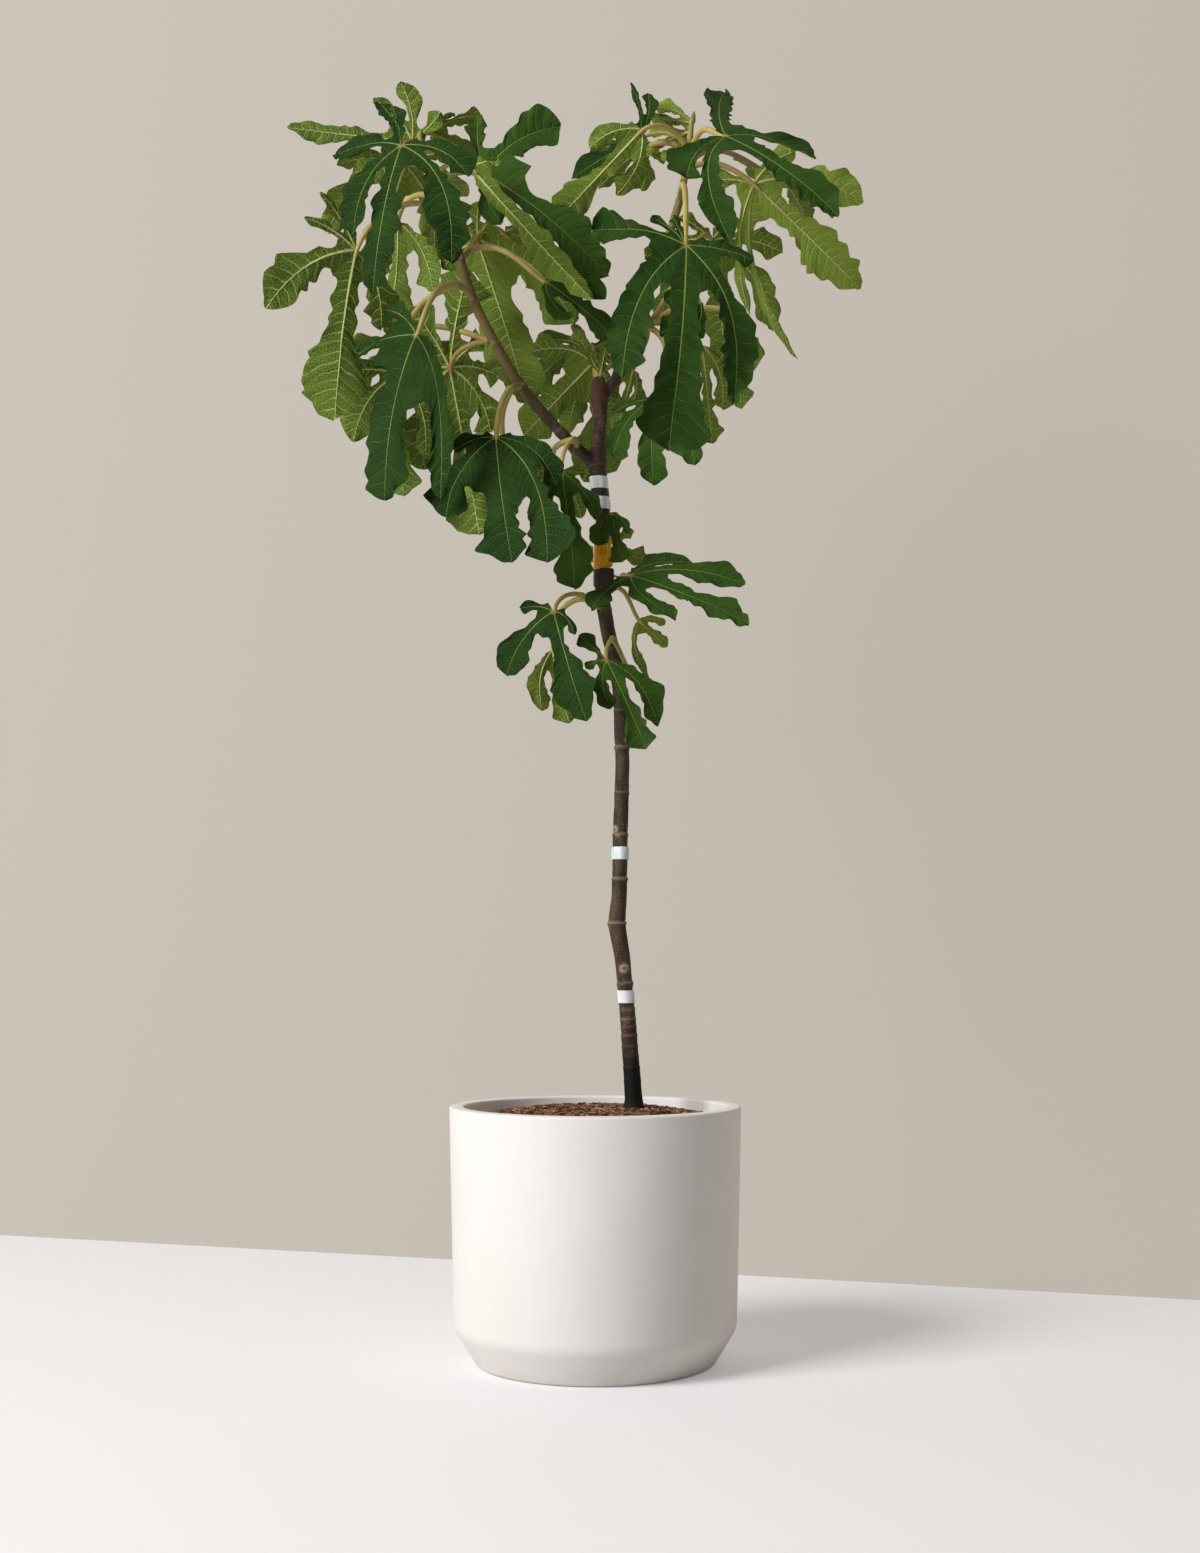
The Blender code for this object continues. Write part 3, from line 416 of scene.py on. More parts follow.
def shapeGrid(bm, across, along, place):
    # a flat grid whose corners are each moved to their place
    corners = bmesh.ops.create_grid(bm, x_segments=across, y_segments=along, size=1.0)["verts"]
    spots = {}
    for corner in corners:
        spots[corner] = (round((corner.co.x + 1) / 2 * across), round((corner.co.y + 1) / 2 * along))
    for corner, (i, j) in spots.items():
        place(corner, i, j)
    return spots


def spinProfile(profile, steps):
    # a profile of radii and heights, turned round the upright axis
    bm = bmesh.new()
    corners = [bm.verts.new((radius, 0.0, height)) for radius, height in profile]
    edges = [bm.edges.new(pair) for pair in zip(corners, corners[1:])]
    bmesh.ops.spin(bm, geom=corners + edges, cent=(0, 0, 0), axis=(0, 0, 1), angle=math.tau,
                   steps=steps, use_merge=True)
    bmesh.ops.remove_doubles(bm, verts=bm.verts, dist=0.00001)
    return bm


def wrapTube(bm, path, around, relief, layer, tone):
    # a grid wrapped round a path of centre points with a radius each, and closed at its ends
    centres = [Vector(row[:3]) for row in path]
    runs = []
    for k in range(len(path)):
        low, high = max(k - 1, 0), min(k + 1, len(path) - 1)
        runs.append((centres[high] - centres[low]).normalized())
    side = runs[0].cross(Vector((0.0, 1.0, 0.0)))
    if side.length < 0.1:
        side = runs[0].cross(Vector((1.0, 0.0, 0.0)))
    side.normalize()
    frames = []
    for run in runs:
        side = (side - run * side.dot(run)).normalized()
        frames.append((side.copy(), run.cross(side)))

    def place(corner, i, j):
        angle = math.tau * i / around
        u, v = frames[j]
        out = u * math.cos(angle) + v * math.sin(angle)
        corner.co = centres[j] + out * (path[j][3] + relief(centres[j], out))
        corner[layer] = tone(centres[j], out)

    spots = shapeGrid(bm, around, len(path) - 1, place)
    bmesh.ops.remove_doubles(bm, verts=list(spots), dist=0.000002)
    rims = [edge for edge in bm.edges if edge.is_boundary]
    bmesh.ops.holes_fill(bm, edges=rims, sides=0)
    bmesh.ops.recalc_face_normals(bm, faces=bm.faces)


def smoothPath(rows, steps):
    # rows of any length, run through by a smooth curve
    path = []
    for i in range(len(rows) - 1):
        a, b, c, d = rows[max(i - 1, 0)], rows[i], rows[i + 1], rows[min(i + 2, len(rows) - 1)]
        for k in range(steps):
            t = k / steps
            path.append(tuple(
                0.5 * (2 * q + (r - p) * t + (2 * p - 5 * q + 4 * r - s) * t * t
                       + (3 * q - p - 3 * r + s) * t ** 3)
                for p, q, r, s in zip(a, b, c, d)
            ))
    path.append(tuple(rows[-1]))
    return path


def pathAt(path, height):
    # the row of a rising path at this height
    for low, high in zip(path, path[1:]):
        if low[2] <= height <= high[2]:
            share = (height - low[2]) / max(high[2] - low[2], 1e-9)
            return tuple(a + (b - a) * share for a, b in zip(low, high))
    return path[-1]


def hill(distance, width):
    return math.exp(-(distance / width) ** 2)


def climb(value, start, run):
    # from 0 at the start to 1 after the run
    return max(0.0, min(1.0, (value - start) / run))


pot = {
    "height": 0.264, "rim": 0.150, "shoulder": 0.1455, "foot": 0.1225, "chamfer": 0.038,
    "wall": 0.0154, "floor": 0.018, "steps": 180, "sharp": 0.9,
    # how far each edge is rounded, and in how many steps
    "rimRound": (0.0026, 4), "shoulderRound": (0.0062, 6), "footRound": (0.004, 4),
}


def makePlanter():
    inner = pot["rim"] - pot["wall"]
    bm = spinProfile([
        (0.0, pot["floor"]),
        (pot["foot"] - pot["wall"], pot["floor"]),
        (pot["shoulder"] - pot["wall"], pot["chamfer"] + pot["floor"] / 2),
        (inner, pot["height"]),
        (pot["rim"], pot["height"]),
        (pot["shoulder"], pot["chamfer"]),
        (pot["foot"], 0.0),
        (0.0, 0.0),
    ], pot["steps"])
    bmesh.ops.recalc_face_normals(bm, faces=bm.faces)

    def onRing(corner, radius, height):
        across = math.hypot(corner.co.x, corner.co.y)
        return abs(corner.co.z - height) < 1e-5 and abs(across - radius) < 1e-4

    rounded = (
        (((inner, pot["height"]), (pot["rim"], pot["height"])), pot["rimRound"]),
        (((pot["shoulder"], pot["chamfer"]),), pot["shoulderRound"]),
        (((pot["foot"], 0.0),), pot["footRound"]),
    )
    for rings, (offset, segments) in rounded:
        edges = [edge for ring in rings for edge in bm.edges if all(onRing(v, *ring) for v in edge.verts)]
        bmesh.ops.bevel(bm, geom=edges, offset=offset, segments=segments, profile=0.5,
                        affect="EDGES", material=-1)
    newPiece(bm, "planterBody", [potWhite], ["planter"], "planter", pot["sharp"])


makePlanter()


soil = {
    "top": 0.257, "edge": 0.2470, "level": 0.078, "radius": 0.1338, "foot": 0.1075, "rings": 26, "steps": 96,
    "bottom": 0.0185, "side": 0.060, "rough": 0.0016, "grain": 90, "sink": 0.0008, "sharp": 1.2,
    "seed": 4, "batches": 65, "batch": 80, "chipLong": (0.0030, 0.0105), "chipWide": (0.0010, 0.0030),
    "chipThick": (0.35, 0.8), "chipTilt": 0.5, "chipLift": 0.0026, "chipSharp": 0.3,
    # the chips lie lower round the trunk
    "trunk": (0.0405, 0.029), "trunkClear": 0.02, "clearLift": 0.0012,
}


def soilHeight(radius):
    if radius <= soil["level"]:
        return soil["top"]
    share = (radius - soil["level"]) / (soil["radius"] - soil["level"])
    return soil["top"] + (soil["edge"] - soil["top"]) * min(share, 1.0)


def makeGround():
    radii = [soil["radius"] * k / soil["rings"] for k in range(soil["rings"] + 1)]
    profile = [(radius, soilHeight(radius)) for radius in radii]
    profile += [(soil["radius"] - 0.003, soil["side"]), (soil["foot"] - 0.001, soil["bottom"]),
                (0.0, soil["bottom"])]
    bm = spinProfile(profile, soil["steps"])
    for corner in bm.verts:
        spread = math.hypot(corner.co.x, corner.co.y) / soil["radius"]
        if corner.co.z > 0.2 and spread < 0.985:
            corner.co.z += soil["rough"] * noise.noise(corner.co * soil["grain"]) - soil["sink"]
    bmesh.ops.recalc_face_normals(bm, faces=bm.faces)
    newPiece(bm, "soilBody", [soilGround], ["soil"], "soil", soil["sharp"])


def addChip(bm, layer, rng):
    radius = soil["radius"] * math.sqrt(rng.random()) * 0.975
    angle = rng.uniform(0, math.tau)
    spot = Vector((radius * math.cos(angle), radius * math.sin(angle), soilHeight(radius)))
    corners = bmesh.ops.create_cube(bm, size=1.0)["verts"]
    long = rng.uniform(*soil["chipLong"]) * rng.uniform(0.5, 1.0)
    wide = rng.uniform(*soil["chipWide"])
    bmesh.ops.scale(bm, verts=corners, vec=(long, wide, wide * rng.uniform(*soil["chipThick"])))
    narrow = rng.uniform(0.2, 0.8)
    for corner in corners:
        if corner.co.x > 0:
            corner.co.y *= narrow
            corner.co.z *= narrow
    reach = math.hypot(spot.x - soil["trunk"][0], spot.y - soil["trunk"][1])
    lift = rng.uniform(0.0, soil["chipLift"]) + (soil["clearLift"] if reach > soil["trunkClear"] else 0.0)
    lean = soil["chipTilt"]
    tilt = Vector((rng.uniform(-lean, lean), rng.uniform(-lean, lean), 1)).normalized()
    turn = tilt.to_track_quat("Z", "Y").to_matrix()
    heading = Vector((math.cos(angle * 7), math.sin(angle * 7), 0)).to_track_quat("X", "Z").to_matrix()
    bmesh.ops.rotate(bm, verts=corners, cent=(0, 0, 0), matrix=heading @ turn)
    bmesh.ops.translate(bm, verts=corners, vec=spot + Vector((0, 0, lift)))
    pale = rng.random()
    mix = (min(1.0, rng.random() * 1.15), max(0.0, pale - 0.72) * 2.6, 0.0, 1.0)
    for corner in corners:
        corner[layer] = mix


def makeChips():
    rng = random.Random(soil["seed"])
    bm = bmesh.new()
    bm.verts.layers.float_color.new("chipTone")
    for _ in range(soil["batches"]):
        fresh = bmesh.new()
        layer = fresh.verts.layers.float_color.new("chipTone")
        for _ in range(soil["batch"]):
            addChip(fresh, layer, rng)
        joinInto(bm, fresh)
    newPiece(bm, "soilChips", [soilChip], ["soil"], "soil", soil["chipSharp"])


makeGround()
makeChips()


# centre points and radii of the trunk and boughs, upwards
limbs = {
    "trunk": (
        (0.0405, 0.029, 0.2573, 0.0112), (0.040, 0.029, 0.268, 0.0093), (0.036, 0.026, 0.325, 0.0084),
        (0.033, 0.024, 0.362, 0.0080), (0.031, 0.023, 0.385, 0.0079), (0.028, 0.022, 0.416, 0.0082),
        (0.023, 0.020, 0.450, 0.0088), (0.025, 0.018, 0.486, 0.0079), (0.026, 0.016, 0.547, 0.0078),
        (0.028, 0.014, 0.616, 0.0072), (0.027, 0.013, 0.650, 0.0077), (0.026, 0.012, 0.683, 0.0073),
        (0.021, 0.011, 0.720, 0.0074), (0.012, 0.009, 0.760, 0.0075), (0.007, 0.007, 0.800, 0.0075),
        (0.008, 0.003, 0.863, 0.0077), (0.004, 0.001, 0.905, 0.0082), (0.002, 0.000, 0.928, 0.0100),
        (0.004, 0.000, 0.955, 0.0070), (0.005, 0.000, 0.978, 0.0072), (0.004, 0.000, 0.996, 0.0090),
        (0.003, 0.000, 1.014, 0.0058),
    ),
    "bough_left": (
        (0.002, 0.000, 0.922, 0.0066), (-0.036, -0.006, 0.956, 0.0057), (-0.077, -0.010, 1.003, 0.0054),
        (-0.108, -0.012, 1.055, 0.0051), (-0.128, -0.014, 1.097, 0.0049), (-0.144, -0.014, 1.150, 0.0047),
        (-0.152, -0.013, 1.170, 0.0047),
    ),
    "bough_right": (
        (0.004, 0.000, 0.990, 0.0066), (0.022, 0.006, 1.017, 0.0052), (0.038, 0.012, 1.062, 0.0049),
        (0.057, 0.018, 1.115, 0.0047), (0.073, 0.020, 1.158, 0.0043), (0.086, 0.020, 1.198, 0.0041),
        (0.092, 0.020, 1.224, 0.0038),
    ),
}

# rings round the bark: limb, height, how far they stand out, how pale they are
barkRings = [
    ("trunk", 0.288, 0.0003, 0.16), ("trunk", 0.301, 0.0004, 0.18), ("trunk", 0.313, 0.0003, 0.20),
    ("trunk", 0.324, 0.0004, 0.22), ("trunk", 0.335, 0.0005, 0.30), ("trunk", 0.344, 0.0003, 0.24),
    ("trunk", 0.352, 0.0004, 0.42), ("trunk", 0.362, 0.0005, 0.25), ("trunk", 0.389, 0.0009, 0.28),
    ("trunk", 0.452, 0.0013, 0.60), ("trunk", 0.498, 0.0009, 0.55), ("trunk", 0.544, 0.0008, 0.45),
    ("trunk", 0.587, 0.0005, 0.18), ("trunk", 0.634, 0.0009, 0.50), ("trunk", 0.672, 0.0006, 0.20),
    ("trunk", 0.735, 0.0007, 0.25), ("trunk", 0.776, 0.0006, 0.20), ("trunk", 0.848, 0.0006, 0.20),
    ("trunk", 0.922, 0.0007, 0.10), ("trunk", 0.972, 0.0009, 0.12), ("trunk", 0.990, 0.0007, 0.15),
    ("bough_left", 0.957, 0.0005, 0.20), ("bough_left", 1.001, 0.0006, 0.25),
    ("bough_left", 1.044, 0.0006, 0.22),
    ("bough_left", 1.086, 0.0006, 0.22), ("bough_left", 1.130, 0.0006, 0.20),
    ("bough_right", 1.020, 0.0006, 0.20), ("bough_right", 1.070, 0.0006, 0.25),
    ("bough_right", 1.118, 0.0005, 0.22),
    ("bough_right", 1.160, 0.0006, 0.25), ("bough_right", 1.204, 0.0006, 0.20),
]

# scars and bumps: limb, height, heading from the front, size, how far they stand out, how pale
barkScars = [
    ("trunk", 0.641, 48, 0.0040, 0.0018, 1.00), ("trunk", 0.549, -48, 0.0042, 0.0018, 1.00),
    ("trunk", 0.543, -20, 0.0026, 0.0010, 0.80), ("trunk", 0.405, 6, 0.0052, 0.0016, 1.20),
    ("trunk", 0.389, 70, 0.0050, 0.0013, 0.25), ("trunk", 0.452, -75, 0.0060, 0.0016, 0.30),
    ("trunk", 0.351, -8, 0.0040, 0.0005, 0.35), ("trunk", 0.318, 20, 0.0036, 0.0006, 0.20),
    ("trunk", 0.498, 72, 0.0040, 0.0008, 0.25), ("trunk", 0.634, -60, 0.0040, 0.0008, 0.30),
    ("trunk", 0.705, 130, 0.0045, 0.0010, 0.30), ("trunk", 0.600, 160, 0.0045, 0.0010, 0.30),
    ("trunk", 0.470, 190, 0.0050, 0.0012, 0.40), ("trunk", 0.965, 15, 0.0042, 0.0012, 0.15),
    ("bough_left", 1.003, 20, 0.0030, 0.0006, 0.35), ("bough_left", 1.046, -30, 0.0030, 0.0006, 0.35),
    ("bough_right", 1.072, -20, 0.0030, 0.0006, 0.30), ("bough_right", 1.118, 30, 0.0028, 0.0006, 0.30),
]
barkForm = {
    "sourceSteps": 2, "steps": 8, "step": 0.0016, "sharp": 1.2,
    "around": {"trunk": 36, "bough_left": 26, "bough_right": 26},
    "grain": (0.00042, (190, 190, 60)), "fine": (0.00022, 420), "waver": 0.0006,
    "ringWidth": 0.0015, "groove": (0.55, 0.0028, 0.0010), "ringTone": (0.0006, 0.0011), "scarReach": 0.0075,
    # where the bark is redder: height, width, strength
    "reds": ((0.992, 0.016, 0.8), (0.925, 0.012, 0.35), (0.340, 0.030, 0.30), (0.450, 0.060, 0.22)),
}


def limbPath(name, steps):
    rows = limbs[name]
    if name != "trunk":
        return smoothPath(rows, steps)
    # the trunk starts upright from its flat cut
    return [(*rows[1][:2], *rows[0][2:])] + smoothPath(rows[1:], steps)


def finePath(name):
    rough = limbPath(name, barkForm["steps"])
    fine = [rough[0]]
    for low, high in zip(rough, rough[1:]):
        pieces = max(1, round((Vector(high[:3]) - Vector(low[:3])).length / barkForm["step"]))
        for k in range(1, pieces + 1):
            fine.append(tuple(a + (b - a) * k / pieces for a, b in zip(low, high)))
    return fine


def barkRelief(name):
    rings = [ring[1:] for ring in barkRings if ring[0] == name]
    scars = [scar[1:] for scar in barkScars if scar[0] == name]
    top = limbs[name][-1][2]

    def aboveRing(centre, out, height):
        return centre.z + barkForm["waver"] * noise.noise(out * 2.2 + Vector((0, 0, height * 40))) - height

    def fromScar(centre, out, height, heading, size):
        heading = math.radians(heading)
        facing = Vector((math.sin(heading), -math.cos(heading), 0.0))
        turn = math.acos(max(-1.0, min(1.0, out.dot(facing)))) * barkForm["scarReach"] / size
        return math.hypot((centre.z - height) / size, turn)

    def relief(centre, out):
        spot = centre + out * 0.008
        depth, stretch = barkForm["grain"]
        value = depth * noise.noise(spot * Vector(stretch))
        depth, scale = barkForm["fine"]
        value += depth * noise.noise(spot * scale)
        share, drop, width = barkForm["groove"]
        for height, stands, _ in rings:
            above = aboveRing(centre, out, height)
            value += stands * hill(above, barkForm["ringWidth"])
            value -= stands * share * hill(above - drop, width)
        for height, heading, size, stands, _ in scars:
            near = fromScar(centre, out, height, heading, size)
            value += stands * (hill(near, 0.85) - 0.75 * hill(near, 0.36))
        return value

    def tone(centre, out):
        pale = 0.0
        offset, width = barkForm["ringTone"]
        for height, _, strength in rings:
            pale = max(pale, strength * hill(aboveRing(centre, out, height) - offset, width))
        for height, heading, size, _, strength in scars:
            near = fromScar(centre, out, height, heading, size)
            mottle = 0.7 + 0.5 * noise.noise(centre * 900 + out)
            pale = max(pale, strength * hill(near - 0.62, 0.30) * mottle)
        young, wet, red = 0.0, 0.0, 0.0
        if name == "trunk":
            wet = climb(0.345 - centre.z, 0.0, 0.045)
            for height, width, strength in barkForm["reds"]:
                red += strength * hill(centre.z - height, width)
            if centre.z > top - 0.0012:
                pale = 0.75
        elif name == "bough_left":
            young = 0.9 * climb(centre.z, 0.95, 0.12) - 0.4 * climb(centre.z, 1.08, 0.06)
        else:
            young = 0.95 * climb(centre.z, 1.08, 0.07)
        return (young, wet, min(1.0, max(0.0, pale)), red)

    return relief, tone


def makeLimbs():
    for name, around in barkForm["around"].items():
        bm = bmesh.new()
        layer = bm.verts.layers.float_color.new("barkTone")
        relief, tone = barkRelief(name)
        wrapTube(bm, finePath(name), around, relief, layer, tone)
        newPiece(bm, camelName(name) + "Bark", [barkSkin], [name], "bark", barkForm["sharp"])


makeLimbs()


# lower edge, upper edge and slot of each tie and of the wrapped tag
bands = {
    "tie_low": (0.369, 0.382, "tie_white"), "tie_middle": (0.518, 0.531, "tie_white"),
    "tie_high": (0.878, 0.8905, "tie_white"), "tie_black": (0.8911, 0.8983, "label_black"),
    "tie_top": (0.8989, 0.911, "tie_white"), "label_lower": (0.800, 0.816, "label_black"),
    "label_upper": (0.8166, 0.843, "label_yellow"),
}
tape = {
    "thick": 0.0011, "tuck": 0.0005, "around": 40, "rows": 10, "sharp": 0.8,
    "crease": 0.00022, "lap": 0.00035, "lapTurn": 2.4, "edgeWave": 0.0003,
}
tag = {
    # plates of the folded tag in front of the trunk: piece, place, size
    "plates": (
        ("label_upper", (0.0105, -0.0072, 0.8235), (0.0150, 0.0011, 0.0130)),
        ("label_upper", (0.0140, -0.0086, 0.8350), (0.0050, 0.0010, 0.0190)),
        ("label_upper", (-0.0040, -0.0070, 0.8300), (0.0040, 0.0010, 0.0170)),
        ("label_lower", (0.0110, -0.0074, 0.8082), (0.0165, 0.0012, 0.0155)),
    ),
    "corner": 0.0030, "lean": 8,
}


def makePlates(bm, name):
    for owner, place, size in tag["plates"]:
        if owner != name:
            continue
        fresh = bmesh.new()
        corners = bmesh.ops.create_cube(fresh, size=1.0)["verts"]
        bmesh.ops.scale(fresh, verts=corners, vec=size)
        edges = [edge for edge in fresh.edges
                 if abs((edge.verts[0].co - edge.verts[1].co).normalized().y) > 0.9]
        bmesh.ops.bevel(fresh, geom=edges, offset=min(tag["corner"], size[0] * 0.42), segments=5,
                        profile=0.5, affect="EDGES", material=-1)
        turn = Matrix.Rotation(math.radians(tag["lean"]), 3, "X")
        bmesh.ops.rotate(fresh, verts=fresh.verts, cent=(0, 0, 0), matrix=turn)
        bmesh.ops.translate(fresh, verts=fresh.verts, vec=place)
        joinInto(bm, fresh)


def makeBands():
    trunk = finePath("trunk")
    count = tape["rows"]
    for name, (low, high, slot) in bands.items():
        bm = bmesh.new()
        rows = [pathAt(trunk, low + (high - low) * k / count) for k in range(count + 1)]
        path = [(*row[:3], row[3] + tape["thick"]) for row in rows]
        # each end turns in to the bark
        path = [(*rows[0][:3], rows[0][3] - tape["tuck"]), *path, (*rows[-1][:3], rows[-1][3] - tape["tuck"])]

        def place(corner, i, j):
            angle = math.tau * i / tape["around"]
            out = Vector((math.cos(angle), math.sin(angle), 0.0))
            x, y, z, radius = path[j]
            if 0 < j < len(path) - 1:
                crease = noise.noise(Vector((angle * 1.6, z * 160, low * 10)))
                lap = 1 if (angle - low * 9) % math.tau < tape["lapTurn"] else 0
                radius += tape["crease"] * crease + tape["lap"] * lap
                z += tape["edgeWave"] * noise.noise(Vector((out.x * 3, out.y * 3, low * 50 + z)))
            corner.co = Vector((x, y, z)) + out * radius

        spots = shapeGrid(bm, tape["around"], len(path) - 1, place)
        bmesh.ops.remove_doubles(bm, verts=list(spots), dist=0.000002)
        rims = [edge for edge in bm.edges if edge.is_boundary]
        bmesh.ops.bridge_loops(bm, edges=rims)
        bmesh.ops.recalc_face_normals(bm, faces=bm.faces)
        makePlates(bm, name)
        newPiece(bm, camelName(name), [tapes[slot]], [name], slot, tape["sharp"])


makeBands()


leafForm = {
    "lobeWidth": 0.155, "spreadLimit": 172, "sinusDepth": 0.30, "tightTurn": 34, "sinusClear": 0.44,
    "heelDepth": 0.10, "heelAngle": 26, "slant": 0.6, "bow": 28, "bowFade": 60, "wave": 0.014, "fold": 0.14,
    "outline": ((0.0, 0.60), (0.10, 0.57), (0.25, 0.61), (0.42, 0.78), (0.58, 0.98), (0.70, 1.02),
                (0.82, 0.84), (0.91, 0.58), (0.97, 0.31), (1.0, 0.0)),
    "thick": 0.0007, "ribHeight": 0.0011, "ribAbove": 0.35, "palmRows": 7, "rowStep": 0.0026,
    "columns": (0.0, 0.05, 0.17, 0.37, 0.60, 0.82, 1.0), "rowLimits": (9, 60), "tooth": 0.0060,
    "toothShare": 0.30, "toothRun": (0.010, 0.031), "uneven": 0.19, "lateral": 0.058,
    "lateralLeast": 0.0045, "bowOut": 0.22, "twist": 0.34, "pitch": (-0.08, 0.06), "ripple": 0.0042,
    "ripples": 75, "sharp": 1.1,
}
petioleForm = {
    "root": 0.0032, "tip": 0.0026, "steps": 18, "around": 10, "sink": 0.007, "under": 0.0016,
    "leave": (0.8, 0.35), "pulls": (0.45, 0.30), "collar": 0.0007, "waist": 0.0009,
}
stemForm = {
    "gap": 0.0003, "straight": 0.004, "around": 16, "steps": 5, "tipSteps": 6, "taper": 0.8, "sharp": 1.2,
    "uneven": 0.00012, "first": 0.55, "firstAtTip": 0.25, "last": 0.93,
    # the bud at the end of one bough: steps across and up, and share of the radius
    "bud": ((0.001, 0.003, 1.25), (0.002, 0.008, 0.9), (0.003, 0.013, 0.15)),
}
whole = ((-130, 0.30), (-80, 0.55), (-34, 0.82), (0, 1.0), (34, 0.82), (80, 0.55), (130, 0.30))
five = ((-105, 0.42), (-42, 0.78), (0, 1.0), (42, 0.78), (105, 0.42))


# faces and up: where the blade faces, droop: how far it bends down in degrees
# lobes: heading from the tip in degrees, length, width
# each leaf's tone value makes its colour lighter or darker: partly the leaf's own tone, partly painted light
# and painted shade, set lighter on leaves that lie in shadow and darker on leaves that the lamp lights
# strongly
def leaf(base, tip, faces, up, droop, lobes, slim=1.0, young=0.0, shade=None, cut=1.0):
    return {
        "base": Vector(base), "tip": Vector(tip), "faces": math.radians(faces), "up": up, "cut": cut,
        "droop": math.radians(droop), "lobes": lobes, "slim": slim, "young": young, "shade": shade,
    }
